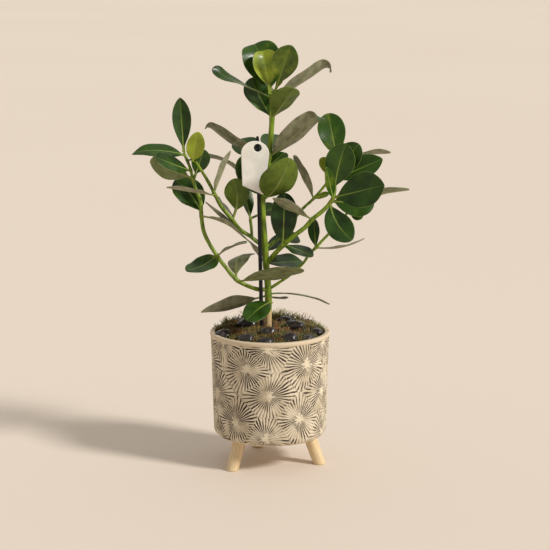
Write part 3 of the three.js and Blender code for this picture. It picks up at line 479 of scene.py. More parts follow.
# Settings that many nodes share. A mix has its amount at input 0 and its colours at 6 and 7, and a
# ramp takes inputs 0: value, 1 and 2: from, 3 and 4: to.
MIX = {"out": 2, "data_type": "RGBA"}
RAMP = {"interpolation_type": "SMOOTHSTEP"}
TIMES = {"operation": "MULTIPLY"}
PLUS = {"operation": "ADD"}
MINUS = {"operation": "SUBTRACT"}
SIZE = {"operation": "ABSOLUTE"}

# How far apart the side veins leave the midrib, in metres.
VEIN_STEP = 3.5 / 1000


def new_material(name):
    made = bpy.data.materials.new(name)
    made.use_nodes = True
    return made, made.node_tree, made.node_tree.nodes["Principled BSDF"]


def side_veins(tree):
    """The way from a leaf's midrib, and a wave with its crests along the side veins, which leave the
    midrib VEIN_STEP apart and slant towards the tip."""
    unrolled = add(tree, "UVMap", {}, uv_map="unrolled")
    off_rib = add(tree, "SeparateXYZ", {0: unrolled}, "X")
    from_foot = add(tree, "SeparateXYZ", {0: unrolled}, "Y")
    from_rib = add(tree, "Math", {0: off_rib}, **SIZE)
    slant = add(tree, "Math", {0: from_rib, 1: 0.8}, **TIMES)
    level = add(tree, "Math", {0: from_foot, 1: slant}, **MINUS)
    phase = add(tree, "Math", {0: level, 1: 2 * math.pi / VEIN_STEP}, **TIMES)
    return from_rib, add(tree, "Math", {0: phase}, operation="SINE")


def leaf_upper_side():
    """Clusia leaf, upper side: a thick waxy cuticle over deep green flesh. The eye sees a satin
    gloss, a pale midrib, a thin pale margin and, faintly, side veins 3.5 mm apart."""
    made, tree, shader = new_material("clusia leaf, waxy upper side")
    place = add(tree, "TexCoord", {}, "Object")
    from_rib, veins = side_veins(tree)
    youth = add(tree, "Attribute", {}, "Fac", attribute_name="youth")
    along = add(tree, "Attribute", {}, "Fac", attribute_name="along")
    across = add(tree, "Attribute", {}, "Fac", attribute_name="across")
    patches = add(tree, "TexNoise", {"Vector": place, "Scale": 1000 / 14, "Detail": 3.0})
    spread = add(tree, "MapRange", {0: patches, 1: 0.3, 2: 0.7, 3: -0.16, 4: 0.16})
    age = add(tree, "Math", {0: youth, 1: spread}, **PLUS)
    deep = add(tree, "MapRange", {0: age, 1: 0.0, 2: 0.45}, **RAMP)
    green = add(tree, "Mix", {0: deep, 6: colour("#102303"), 7: colour("#284806")}, **MIX)
    fresh = add(tree, "MapRange", {0: age, 1: 0.4, 2: 1.0}, **RAMP)
    green = add(tree, "Mix", {0: fresh, 6: green, 7: colour("#94a02a")}, **MIX)
    faint = add(tree, "MapRange", {0: veins, 1: 0.3, 2: 1.0, 3: 0.0, 4: 0.04}, **RAMP)
    green = add(tree, "Mix", {0: faint, 6: green, 7: colour("#6f8a30")}, **MIX)
    near = add(tree, "MapRange", {0: from_rib, 1: 0.001, 2: 0.0003}, **RAMP)
    fade = add(tree, "MapRange", {0: along, 1: 0.1, 2: 1.0, 3: 0.6, 4: 0.1}, **RAMP)
    rib = add(tree, "Math", {0: near, 1: fade}, **TIMES)
    green = add(tree, "Mix", {0: rib, 6: green, 7: colour("#9fae4e")}, **MIX)
    rim = add(tree, "Math", {0: across}, **SIZE)
    margin = add(tree, "MapRange", {0: rim, 1: 0.95, 2: 1.0, 3: 0.0, 4: 0.5}, **RAMP)
    green = add(tree, "Mix", {0: margin, 6: green, 7: colour("#90a04a")}, **MIX)
    stalk = add(tree, "MapRange", {0: along, 1: 0.16, 2: 0.0, 3: 0.0, 4: 0.8}, **RAMP)
    green = add(tree, "Mix", {0: stalk, 6: green, 7: colour("#84982a")}, **MIX)
    blotch = add(tree, "TexNoise", {"Vector": place, "Scale": 1000 / 6, "Detail": 3.0})
    satin = add(tree, "MapRange", {0: blotch, 1: 0.3, 2: 0.7, 3: 0.3, 4: 0.42})
    grain = add(tree, "TexNoise", {"Vector": place, "Scale": 1000 / 1.6, "Detail": 3.0})
    ridge = add(tree, "Math", {0: veins, 1: 0.5}, **TIMES)
    relief = add(tree, "Math", {0: grain, 1: ridge}, **PLUS)
    bump = add(tree, "Bump", {"Distance": 0.00005, "Height": relief})
    fill(shader, {"Base Color": green, "Roughness": satin, "Normal": bump, "Specular IOR Level": 0.28,
                  "Coat Weight": 0.1, "Coat Roughness": 0.16})
    return made


def leaf_under_side():
    """Clusia leaf, underside: matt, with no wax gloss. The eye sees a pale taupe to olive, a raised
    paler midrib and a fine grain."""
    made, tree, shader = new_material("clusia leaf, matt underside")
    place = add(tree, "TexCoord", {}, "Object")
    from_rib, veins = side_veins(tree)
    olive = add(tree, "Attribute", {}, "Fac", attribute_name="olive")
    along = add(tree, "Attribute", {}, "Fac", attribute_name="along")
    pale = add(tree, "Mix", {0: olive, 6: colour("#a09b85"), 7: colour("#5f721c")}, **MIX)
    dark = add(tree, "Mix", {0: olive, 6: colour("#6a6952"), 7: colour("#455816")}, **MIX)
    patches = add(tree, "TexNoise", {"Vector": place, "Scale": 1000 / 9, "Detail": 5.0})
    cloud = add(tree, "MapRange", {0: patches, 1: 0.35, 2: 0.7, 3: 0.0, 4: 0.8}, **RAMP)
    green = add(tree, "Mix", {0: cloud, 6: pale, 7: dark}, **MIX)
    faint = add(tree, "MapRange", {0: veins, 1: 0.3, 2: 1.0, 3: 0.0, 4: 0.04}, **RAMP)
    green = add(tree, "Mix", {0: faint, 6: green, 7: colour("#b5ad90")}, **MIX)
    near = add(tree, "MapRange", {0: from_rib, 1: 0.0013, 2: 0.0004}, **RAMP)
    fade = add(tree, "MapRange", {0: along, 1: 0.1, 2: 1.0, 3: 0.7, 4: 0.1}, **RAMP)
    rib = add(tree, "Math", {0: near, 1: fade}, **TIMES)
    green = add(tree, "Mix", {0: rib, 6: green, 7: colour("#a9ab68")}, **MIX)
    stalk = add(tree, "MapRange", {0: along, 1: 0.2, 2: 0.0, 3: 0.0, 4: 0.8}, **RAMP)
    green = add(tree, "Mix", {0: stalk, 6: green, 7: colour("#86952e")}, **MIX)
    grain = add(tree, "TexNoise", {"Vector": place, "Scale": 1000 / 1.2, "Detail": 5.0})
    dull = add(tree, "MapRange", {0: grain, 1: 0.3, 2: 0.7, 3: 0.5, 4: 0.64})
    ridge = add(tree, "Math", {0: veins, 1: 0.12}, **TIMES)
    relief = add(tree, "Math", {0: grain, 1: ridge}, **PLUS)
    bump = add(tree, "Bump", {"Distance": 0.0001, "Height": relief})
    fill(shader, {"Base Color": green, "Roughness": dull, "Normal": bump, "Specular IOR Level": 0.3})
    return made


def stem_skin():
    """Young clusia stem: smooth green bark, satin, woody and tan where the main stem leaves the
    soil. The eye sees bright green with darker streaks along it and brown specks."""
    made, tree, shader = new_material("clusia stem, green bark")
    place = add(tree, "TexCoord", {}, "Object")
    drawn = add(tree, "Mapping", {0: place, 3: (1.0, 1.0, 0.18)})
    streaks = add(tree, "TexNoise", {"Vector": drawn, "Scale": 1000 / 2.5, "Detail": 4.0})
    shade = add(tree, "MapRange", {0: streaks, 1: 0.35, 2: 0.7}, **RAMP)
    green = add(tree, "Mix", {0: shade, 6: colour("#7f9820"), 7: colour("#536a14")}, **MIX)
    specks = add(tree, "TexNoise", {"Vector": place, "Scale": 1000 / 0.9, "Detail": 2.0})
    brown = add(tree, "MapRange", {0: specks, 1: 0.66, 2: 0.74, 3: 0.0, 4: 0.7}, **RAMP)
    green = add(tree, "Mix", {0: brown, 6: green, 7: colour("#7a5a2a")}, **MIX)
    joint = add(tree, "Attribute", {}, "Fac", attribute_name="joint")
    scar = add(tree, "MapRange", {0: joint, 1: 0.2, 2: 0.9, 3: 0.0, 4: 0.75}, **RAMP)
    green = add(tree, "Mix", {0: scar, 6: green, 7: colour("#8a7434")}, **MIX)
    bark = add(tree, "Mix", {0: streaks, 6: colour("#b89a68"), 7: colour("#dcc192")}, **MIX)
    height = add(tree, "Attribute", {}, "Fac", attribute_name="height")
    woody = add(tree, "MapRange", {0: height, 1: 20.0, 2: 14.0}, **RAMP)
    green = add(tree, "Mix", {0: woody, 6: green, 7: bark}, **MIX)
    relief = add(tree, "Math", {0: streaks, 1: specks}, **PLUS)
    bump = add(tree, "Bump", {"Distance": 0.0002, "Height": relief})
    fill(shader, {"Base Color": green, "Roughness": 0.42, "Normal": bump, "Specular IOR Level": 0.4})
    return made


def carved_clay():
    """Slip-coated clay, carved through to the darker body and left unglazed (sgraffito). The eye
    sees a cream ground with dark brown strokes, chalky, with rubbed patches. The strokes follow
    stroke_depth's formula, worked out again here from what the wall keeps at each point: the place
    from the burst's middle, the burst's number and the way to the next burst."""
    made, tree, shader = new_material("carved clay, cream slip")
    place = add(tree, "TexCoord", {}, "Object")
    x = add(tree, "Attribute", {}, "Fac", attribute_name="from_middle")
    z = add(tree, "Attribute", {}, "Fac", attribute_name="above_middle")
    star = add(tree, "Attribute", {}, "Fac", attribute_name="star")
    to_line = add(tree, "Attribute", {}, "Fac", attribute_name="to_line")
    wander = add(tree, "TexNoise", {"Vector": place, "Scale": 1000 / 5, "Detail": 3.0})
    x_squared = add(tree, "Math", {0: x, 1: x}, **TIMES)
    squares = add(tree, "Math", {0: z, 1: z, 2: x_squared}, operation="MULTIPLY_ADD")
    away = add(tree, "Math", {0: squares}, operation="SQRT")
    angle = add(tree, "Math", {0: z, 1: x}, operation="ARCTAN2")
    turns = add(tree, "Math", {0: angle, 1: STROKES / (2 * math.pi)}, **TIMES)
    turned = add(tree, "Math", {0: star, 1: BURST_TURN, 2: turns}, operation="MULTIPLY_ADD")
    slices = add(tree, "Math", {0: wander, 1: WANDER, 2: turned}, operation="MULTIPLY_ADD")
    stroke = add(tree, "Math", {0: slices}, operation="FLOOR")
    within = add(tree, "Math", {0: slices}, operation="FRACT")
    star_part = add(tree, "Math", {0: star, 1: 2.3}, **TIMES)
    mixed = add(tree, "Math", {0: stroke, 1: 1.7, 2: star_part}, operation="MULTIPLY_ADD")
    wave = add(tree, "Math", {0: mixed}, operation="SINE")
    scattered = add(tree, "Math", {0: wave, 1: 97.3}, **TIMES)
    chance = add(tree, "Math", {0: scattered}, operation="FRACT")
    chance = add(tree, "Math", {0: chance}, **SIZE)
    slice_width = add(tree, "Math", {0: away, 1: 2 * math.pi / STROKES}, **TIMES)
    centred = add(tree, "Math", {0: within, 1: 0.5}, **MINUS)
    apart = add(tree, "Math", {0: centred}, **SIZE)
    off_line = add(tree, "Math", {0: apart, 1: slice_width}, **TIMES)
    part = add(tree, "MapRange", {0: chance, 3: HALF_SHARE[0], 4: HALF_SHARE[1]})
    half = add(tree, "Math", {0: slice_width, 1: part}, **TIMES)
    widest = add(tree, "MapRange", {0: chance, 3: HALF_LIMIT[0], 4: HALF_LIMIT[1]})
    half = add(tree, "Math", {0: half, 1: widest}, operation="MINIMUM")
    inside = add(tree, "Math", {0: half, 1: off_line}, **MINUS)
    short = add(tree, "MapRange", {0: chance, 3: STROKE_STOP[0], 4: STROKE_STOP[1]})
    before = add(tree, "Math", {0: to_line, 1: short}, **MINUS)
    begins = add(tree, "MapRange", {0: chance, 3: STROKE_START[0], 4: STROKE_START[1]})
    after = add(tree, "Math", {0: away, 1: begins}, **MINUS)
    inside = add(tree, "Math", {0: inside, 1: before}, operation="MINIMUM")
    inside = add(tree, "Math", {0: inside, 1: after}, operation="MINIMUM")
    cut = add(tree, "MapRange", {0: inside, 1: -0.12, 2: 0.12}, **RAMP)
    cloud = add(tree, "TexNoise", {"Vector": place, "Scale": 1000 / 22, "Detail": 3.0})
    grain = add(tree, "TexNoise", {"Vector": place, "Scale": 1000 / 0.7, "Detail": 4.0})
    rubbed = add(tree, "TexNoise", {"Vector": place, "Scale": 1000 / 13, "Detail": 3.0})
    soft = add(tree, "MapRange", {0: cloud, 1: 0.35, 2: 0.7}, **RAMP)
    cream = add(tree, "Mix", {0: soft, 6: colour("#e2d4ba"), 7: colour("#c6b79b")}, **MIX)
    specks = add(tree, "MapRange", {0: grain, 1: 0.5, 2: 0.8, 3: 0.0, 4: 0.4}, **RAMP)
    cream = add(tree, "Mix", {0: specks, 6: cream, 7: colour("#ae9c82")}, **MIX)
    fired = add(tree, "MapRange", {0: rubbed, 1: 0.4, 2: 0.64}, **RAMP)
    brown = add(tree, "Mix", {0: fired, 6: colour("#3c302a"), 7: colour("#75654f")}, **MIX)
    worn = add(tree, "MapRange", {0: rubbed, 1: 0.46, 2: 0.66, 3: 1.0, 4: 0.35}, **RAMP)
    dark = add(tree, "Math", {0: cut, 1: worn}, **TIMES)
    panel = add(tree, "Attribute", {}, "Fac", attribute_name="panel")
    dark = add(tree, "Math", {0: dark, 1: panel}, **TIMES)
    body = add(tree, "Mix", {0: dark, 6: cream, 7: brown}, **MIX)
    bare = add(tree, "Mix", {0: grain, 6: colour("#dac9ae"), 7: colour("#c6b396")}, **MIX)
    body = add(tree, "Mix", {0: panel, 6: bare, 7: body}, **MIX)
    chalky = add(tree, "MapRange", {0: grain, 1: 0.3, 2: 0.7, 3: 0.55, 4: 0.75})
    sunk = add(tree, "Math", {0: dark, 1: -2.0}, **TIMES)
    relief = add(tree, "Math", {0: grain, 1: sunk}, **PLUS)
    bump = add(tree, "Bump", {"Distance": 0.00012, "Height": relief})
    fill(shader, {"Base Color": body, "Roughness": chalky, "Normal": bump, "Specular IOR Level": 0.35})
    return made


def turned_wood():
    """Rubberwood peg, turned and sealed with thin lacquer. The eye sees pale straw wood with fine
    straight grain along the peg and short brown pores."""
    made, tree, shader = new_material("turned rubberwood, thin lacquer")
    unrolled = add(tree, "UVMap", {}, uv_map="unrolled")
    drawn = add(tree, "Mapping", {0: unrolled, 3: (1.0, 0.07, 1.0)})
    grain = add(tree, "TexNoise", {"Vector": drawn, "Scale": 1000 / 1.4, "Detail": 4.0, "Roughness": 0.6})
    nicks = add(tree, "Mapping", {0: unrolled, 3: (1.0, 0.15, 1.0)})
    pores = add(tree, "TexNoise", {"Vector": nicks, "Scale": 1000 / 0.6, "Detail": 2.0})
    bands = add(tree, "MapRange", {0: grain, 1: 0.3, 2: 0.7}, **RAMP)
    wood = add(tree, "Mix", {0: bands, 6: colour("#e4cea4"), 7: colour("#ccb084")}, **MIX)
    open_pores = add(tree, "MapRange", {0: pores, 1: 0.62, 2: 0.72, 3: 0.0, 4: 0.45}, **RAMP)
    wood = add(tree, "Mix", {0: open_pores, 6: wood, 7: colour("#9c7646")}, **MIX)
    relief = add(tree, "Math", {0: grain, 1: open_pores}, **MINUS)
    bump = add(tree, "Bump", {"Distance": 0.00006, "Height": relief})
    fill(shader, {"Base Color": wood, "Roughness": 0.45, "Normal": bump, "Coat Weight": 0.12,
                  "Coat Roughness": 0.3})
    return made


def potting_soil():
    """Peat potting soil, loose. The eye sees dark brown crumbs with lighter fibres, wholly matt."""
    made, tree, shader = new_material("potting soil, loose peat")
    place = add(tree, "TexCoord", {}, "Object")
    crumbs = add(tree, "TexVoronoi", {"Vector": place, "Scale": 1000 / 2.2}, "Distance")
    lumps = add(tree, "TexNoise", {"Vector": place, "Scale": 1000 / 1.5, "Detail": 5.0})
    fibres = add(tree, "TexNoise", {"Vector": place, "Scale": 1000 / 1.0, "Detail": 2.0})
    brown = add(tree, "Mix", {0: lumps, 6: colour("#1d130c"), 7: colour("#4a3422")}, **MIX)
    thread = add(tree, "MapRange", {0: fibres, 1: 0.66, 2: 0.72}, **RAMP)
    brown = add(tree, "Mix", {0: thread, 6: brown, 7: colour("#8a6a40")}, **MIX)
    relief = add(tree, "Math", {0: crumbs, 1: lumps}, **PLUS)
    bump = add(tree, "Bump", {"Distance": 0.0012, "Height": relief})
    fill(shader, {"Base Color": brown, "Roughness": 0.95, "Normal": bump})
    return made


def moss_strands():
    """Dried sheet moss: thin strands. The eye sees olive green tips over yellow and rust brown
    strands, each strand of one tint, with no shine. Each strand is painted darker towards its foot,
    down to near black, as painted shade among the strands."""
    made, tree, shader = new_material("sheet moss, dried strands")
    tint = add(tree, "Attribute", {}, "Fac", attribute_name="tint")
    up = add(tree, "Attribute", {}, "Fac", attribute_name="up")
    yellow = add(tree, "MapRange", {0: tint, 1: 0.1, 2: 0.4}, **RAMP)
    green = add(tree, "Mix", {0: yellow, 6: colour("#9a6028"), 7: colour("#98883a")}, **MIX)
    olive = add(tree, "MapRange", {0: tint, 1: 0.4, 2: 0.9}, **RAMP)
    green = add(tree, "Mix", {0: olive, 6: green, 7: colour("#5f6c22")}, **MIX)
    # painted shade: the lower a point sits on its strand, the nearer it is painted to near black #120d06
    shade = add(tree, "MapRange", {0: up, 1: 0.15, 2: 0.95, 3: 0.97, 4: 0.0}, **RAMP)
    green = add(tree, "Mix", {0: shade, 6: green, 7: colour("#120d06")}, **MIX)
    fill(shader, {"Base Color": green, "Roughness": 0.8, "Specular IOR Level": 0.3, "Sheen Weight": 0.2})
    return made


def polished_pebble():
    """River pebble, dyed black and polished. The eye sees near black with a warm cast and soft
    highlights over faint pits."""
    made, tree, shader = new_material("black pebble, polished")
    place = add(tree, "TexCoord", {}, "Object")
    cloud = add(tree, "TexNoise", {"Vector": place, "Scale": 1000 / 5, "Detail": 4.0})
    pits = add(tree, "TexNoise", {"Vector": place, "Scale": 1000 / 1.5, "Detail": 3.0})
    warm = add(tree, "MapRange", {0: cloud, 1: 0.35, 2: 0.7}, **RAMP)
    black = add(tree, "Mix", {0: warm, 6: colour("#14100f"), 7: colour("#2e2420")}, **MIX)
    gloss = add(tree, "MapRange", {0: pits, 1: 0.4, 2: 0.7, 3: 0.26, 4: 0.42})
    bump = add(tree, "Bump", {"Distance": 0.0003, "Height": cloud})
    fill(shader, {"Base Color": black, "Roughness": gloss, "Normal": bump, "Coat Weight": 0.25,
                  "Coat Roughness": 0.2})
    return made


def black_plastic():
    """Polypropylene rod, extruded. The eye sees a cool near black with a soft sheen and fine lines
    along its length."""
    made, tree, shader = new_material("black polypropylene, extruded")
    place = add(tree, "TexCoord", {}, "Object")
    drawn = add(tree, "Mapping", {0: place, 3: (1.0, 1.0, 0.04)})
    lines = add(tree, "TexNoise", {"Vector": drawn, "Scale": 1000 / 0.8, "Detail": 2.0})
    black = add(tree, "Mix", {0: lines, 6: colour("#07090b"), 7: colour("#12171b")}, **MIX)
    satin = add(tree, "MapRange", {0: lines, 1: 0.3, 2: 0.7, 3: 0.34, 4: 0.46})
    bump = add(tree, "Bump", {"Distance": 0.00006, "Height": lines})
    fill(shader, {"Base Color": black, "Roughness": satin, "Normal": bump, "Specular IOR Level": 0.3})
    return made


def uncoated_card():
    """Uncoated board, die cut. The eye sees warm white with a fine paper tooth."""
    made, tree, shader = new_material("tag board, uncoated")
    place = add(tree, "TexCoord", {}, "Object")
    tooth = add(tree, "TexNoise", {"Vector": place, "Scale": 1000 / 0.6, "Detail": 4.0, "Roughness": 0.7})
    cloud = add(tree, "TexNoise", {"Vector": place, "Scale": 1000 / 12, "Detail": 2.0})
    soft = add(tree, "MapRange", {0: cloud, 1: 0.35, 2: 0.7}, **RAMP)
    white = add(tree, "Mix", {0: soft, 6: colour("#f3efe5"), 7: colour("#e9e4d8")}, **MIX)
    specks = add(tree, "MapRange", {0: tooth, 1: 0.55, 2: 0.8, 3: 0.0, 4: 0.3}, **RAMP)
    white = add(tree, "Mix", {0: specks, 6: white, 7: colour("#dcd4c2")}, **MIX)
    bump = add(tree, "Bump", {"Distance": 0.00005, "Height": tooth})
    fill(shader, {"Base Color": white, "Roughness": 0.7, "Normal": bump})
    return made


def pale_floor():
    """Plain painted floor, pale and warm, matt."""
    made, tree, shader = new_material("pale floor")
    place = add(tree, "TexCoord", {}, "Object")
    tone = add(tree, "TexNoise", {"Vector": place, "Scale": 0.4, "Detail": 1.0})
    paint = add(tree, "Mix", {0: tone, 6: colour("#e3d6c8"), 7: colour("#ddcfc0")}, **MIX)
    fill(shader, {"Base Color": paint, "Roughness": 0.7, "Specular IOR Level": 0.2})
    return made


def dress(piece, materials, slot, *nodes):
    """Gives a piece its materials, lets it ride on the root body, and hides the CAD nodes it stands for.
    The slot argument is not used."""
    for material in materials:
        piece.data.materials.append(material)
    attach(piece, "root")
    if nodes:
        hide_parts(*nodes)
    return piece


# ------------------------------------------------------------------ camera, floor and light
def set_the_stage():
    """A camera two metres in front and a little above, looking 10.8 degrees down, a large floor, a
    soft low sun from the right and a little in front, and pale light all round that is dimmer on
    the camera's side."""
    scene = bpy.context.scene
    camera = bpy.data.objects.new("camera", bpy.data.cameras.new("camera"))
    scene.collection.objects.link(camera)
    camera.location = (0.0057, -1.984, 0.594)
    camera.rotation_euler = (math.radians(90 - 10.8), 0, 0)
    camera.data.sensor_width = 36
    camera.data.lens = 117.8
    camera.data.dof.use_dof = False
    camera.data.clip_start, camera.data.clip_end = 0.05, 200
    scene.camera = camera
    corners = [[-4e4, -4e4, 0], [4e4, -4e4, 0], [4e4, 4e4, 0], [-4e4, 4e4, 0]]
    floor = make_piece("floor", corners, [[0, 1, 2, 3]])
    floor.data.materials.append(pale_floor())
    sun = bpy.data.objects.new("key", bpy.data.lights.new("key", "SUN"))
    sun.data.energy = 2.9
    sun.data.angle = math.radians(11)
    sun.data.color = (1.0, 0.975, 0.94)
    sun.rotation_euler = Vector((-0.76, 0.42, -0.6)).to_track_quat("-Z", "Y").to_euler()
    scene.collection.objects.link(sun)
    scene.world = bpy.data.worlds.new("studio")
    scene.world.use_nodes = True
    tree = scene.world.node_tree
    towards = add(tree, "TexCoord", {}, "Generated")
    back = add(tree, "SeparateXYZ", {0: towards}, "Y")
    strength = add(tree, "MapRange", {0: back, 1: -0.9, 2: 0.6, 3: 0.38, 4: 0.68}, **RAMP)
    fill(tree.nodes["Background"], {"Color": colour("#fffaf3"), "Strength": strength})
    scene.view_settings.view_transform = "Standard"


# ------------------------------------------------------------------ leaves
def plant_point(point):
    return np.asarray(point, float) + [0, 0, PLANT_BASE]


def stem_place(stem, at):
    points = np.array([plant_point(p) for p in STEMS[stem]["points"]])
    return spline(points, at / (len(points) - 1))


# Places across the blade where the skin has points: close together at the margins and the midrib.
ACROSS_TOP = np.array([1, 0.985, 0.93, 0.82, 0.66, 0.48, 0.3, 0.17, 0.08, 0])
ACROSS_TOP = np.concatenate([ACROSS_TOP, -ACROSS_TOP[-2::-1]])
LEAF_ROWS = 44


def blade_half_width(t, b, width, belly, point):
    """Half the width along a leaf: w b^p (1-b)^q over its own peak, with b the share of the blade, so
    the leaf is widest at belly. Below the blade it runs over into the stalk, which swells at its foot."""
    out = point * belly / (1 - belly)
    peak = belly ** out * (1 - belly) ** point
    blade = 0.5 * width * b ** out * (1 - b) ** point / peak
    slim = PETIOLE_WIDTH / 2 * (1 - smooth_step(t, 0.45, 0.7)) * (1 + 0.35 * np.exp(-t / 0.03))
    return (blade ** 3 + slim ** 3) ** (1 / 3)


def blade_lift(t, b, u, upper, h, width, fold, stalk, dice):
    """How far each point of a leaf's skin is off its flat middle. Both halves rise by fold, the margin
    waves a little, the thickness falls to nothing at the margin as (1-u^2)^0.3, and the midrib is a
    furrow above and a ridge below."""
    thick = LEAF_THICKNESS + (PETIOLE_THICKNESS - LEAF_THICKNESS) * np.maximum(0, 1 - t / (stalk + 0.15))
    rounded = np.maximum(1 - u ** 2, 0) ** (0.3 + 0.2 * np.clip(1 - b, 0, 1)[:, None])
    blade_share = smooth_step(b, 0.05, 0.35)[:, None]
    wave = 0.022 * width * np.sin(2 * np.pi * (1.4 * t + dice.uniform())) * u * np.abs(u)
    wave = wave + 0.016 * width * np.sin(2 * np.pi * (2.3 * t + dice.uniform())) * u ** 2
    lift = fold * h * (0.5 * np.sqrt(u ** 2 + 0.004) + 0.5 * u ** 2) + wave * blade_share
    rib = np.exp(-(u * h / 1.1) ** 2) * blade_share * (1 - t ** 2)
    return lift + upper * thick / 2 * rounded - rib * np.where(upper > 0, 0.22, 0.65)


def make_leaf(name, stem, at, reach, width, facing, shape):
    """A leaf blade and its stalk as one closed skin. The midrib runs from foot to tip and is moved
    to the upper side by length x bend x 4t(1-t), sideways by sway in the same way, and lifted by
    hook over its last quarter. Over its last curled share it rolls down on an arc of curl degrees,
    and the blade turns by twist x t^3 degrees. Its width and the lift of its skin come from
    blade_half_width and blade_lift."""
    dice = np.random.default_rng(sum(map(ord, name)))
    bend, sway, hook, fold = (shape.get(k, 0) for k in ("bend", "sway", "hook", "fold"))
    stalk, belly = shape.get("stalk", 0.08), shape.get("belly", 0.58)
    curl, twist = (math.radians(shape.get(k, 0)) for k in ("curl", "twist"))
    curled, point = shape.get("curled", 0.2), shape.get("tip", TIP_ROUNDNESS)
    foot = stem_place(stem, at) + np.array(shape.get("foot", (0, 0, 0)), float)
    reach = np.array(reach, float)
    length = np.linalg.norm(reach)
    along = reach / length
    up = unit(np.array(facing, float) - np.dot(facing, along) * along)
    side = np.cross(along, up)

    def midrib(t):
        arch = 4 * t * (1 - t)
        end = np.maximum(0, (t - 0.75) / 0.25) ** 2
        run = np.maximum(0, t - 1 + curled) * length
        bow = max(curl, 1e-6) / (curled * length)
        onward = np.sin(run * bow) / bow - run
        down = (1 - np.cos(run * bow)) / bow
        return (foot + t * reach + along * onward - side * length * sway * arch
                + up * (length * (bend * arch + hook * end) - down))

    t = (1 - np.cos(np.pi * np.linspace(0, 1, LEAF_ROWS + 1)[:-1])) / 2
    t = (0.35 * np.linspace(0, 1, LEAF_ROWS + 1)[:-1] + 0.65 * t)[:, None]
    middle = midrib(t)
    tangent = unit(midrib(t + 0.01) - midrib(t - 0.01))
    flat_across = unit(side - tangent * (tangent @ side)[:, None])
    flat_normal = np.cross(flat_across, tangent)
    turn = twist * t ** 3
    across = flat_across * np.cos(turn) + flat_normal * np.sin(turn)
    normal = np.cross(across, tangent)
    b = np.clip((t[:, 0] - stalk) / (1 - stalk), 0, 1)
    u = np.concatenate([ACROSS_TOP, -ACROSS_TOP[1:-1]])[None]
    upper = np.concatenate([np.ones(len(ACROSS_TOP)), -np.ones(len(ACROSS_TOP) - 2)])[None]
    h = blade_half_width(t[:, 0], b, width, belly, point)[:, None]
    lift = blade_lift(t, b, u, upper, h, width, fold, stalk, dice)
    rings = middle[:, None] + across[:, None] * (u * h)[..., None] + normal[:, None] * lift[..., None]
    wide = np.concatenate([u, u[:, :1]], 1) * h
    grid_uv = np.stack(np.broadcast_arrays(wide, t * length), -1) / 1000
    marks = {
        "across": np.broadcast_to(u, rings.shape[:2]),
        "along": np.broadcast_to(t, rings.shape[:2]),
        "youth": np.full(rings.shape[:2], YOUTH.get(name, 0.22 + 0.16 * dice.uniform())),
        "olive": np.full(rings.shape[:2], OLIVE.get(name, 0.12 + 0.15 * dice.uniform())),
    }
    piece = ring_piece(name, rings, middle[0], midrib(1.0), marks, grid_uv)
    ring = u.shape[1]
    below = np.arange(ring) >= len(ACROSS_TOP) - 1
    faces = np.tile(below, LEAF_ROWS + 1).astype(np.int32)
    piece.data.polygons.foreach_set("material_index", faces)
    return piece


# ------------------------------------------------------------------ stems
def make_stem(name, leaf_places):
    """A round stem along its spline. The radius runs evenly between its points and swells by
    0.35 mm x e^-(d/2.2)^2 at each leaf pair, d being the way along the stem, and ends in a dome."""
    points = np.array([plant_point(p) for p in STEMS[name]["points"]])
    radii = np.array(STEMS[name]["radii"], float)
    share = np.linspace(0, 1, 24 * (len(points) - 1))
    path = spline(points, share)
    length = np.append(0, np.cumsum(np.linalg.norm(np.diff(path, axis=0), axis=1)))
    radius = np.interp(share * (len(radii) - 1), np.arange(len(radii)), radii)
    pairs = np.interp(np.array(leaf_places) / (len(points) - 1), share, length)
    near = np.exp(-((length[:, None] - pairs) / 2.2) ** 2).max(1)
    scar = np.exp(-((length[:, None] - pairs + 1.2) / 0.5) ** 2).max(1)
    radius = radius + 0.35 * near + 0.12 * ripple(path * [1, 1, 0.4], 9, len(name))
    edge = np.clip((length[-1] - length) / radii[-1], 0, 1)
    radius = radius * np.sqrt(np.maximum(1 - (1 - edge) ** 2, 0.002))
    height = np.full(len(path), 100.0) if STEMS[name].get("parent") else path[:, 2] - PLANT_BASE
    return swept_piece(name, path, radius, 20, {"joint": scar, "height": height})


# ------------------------------------------------------------------ pot
BURST_ROWS = [(150, 3), (121, 36), (92, 1), (65, 28), (39, 0)]
BURSTS_ROUND = 6
CARVED_DEPTH = 0.45

# The carved strokes. Each pair holds a value at chance 0 and at chance 1: the half width as a share of
# the slice, its limit, the start from the middle and the stop before the next burst, the last three
# in millimetres. WANDER is how far the slices' edges wander, in slices.
STROKES = 38
BURST_TURN = 0.37
WANDER = 0.5
HALF_SHARE = (0.22, 0.32)
HALF_LIMIT = (0.55, 1.05)
STROKE_START = (8, 2.5)
STROKE_STOP = (0.6, 0.1)


def burst_centres():
    """Middles of the carved bursts: angle round the pot and height. Six to a row, each row half a
    step round from the next, and each a little off its place, as carved by eye."""
    dice = np.random.default_rng(11)
    found = []
    for height, turn in BURST_ROWS:
        angles = -90 + turn + 360 / BURSTS_ROUND * np.arange(BURSTS_ROUND)
        angles = angles + dice.uniform(-7, 7, BURSTS_ROUND)
        heights = height + dice.uniform(-5.5, 5.5, BURSTS_ROUND)
        found.append(np.stack([np.radians(angles), heights], 1))
    return np.vstack(found)


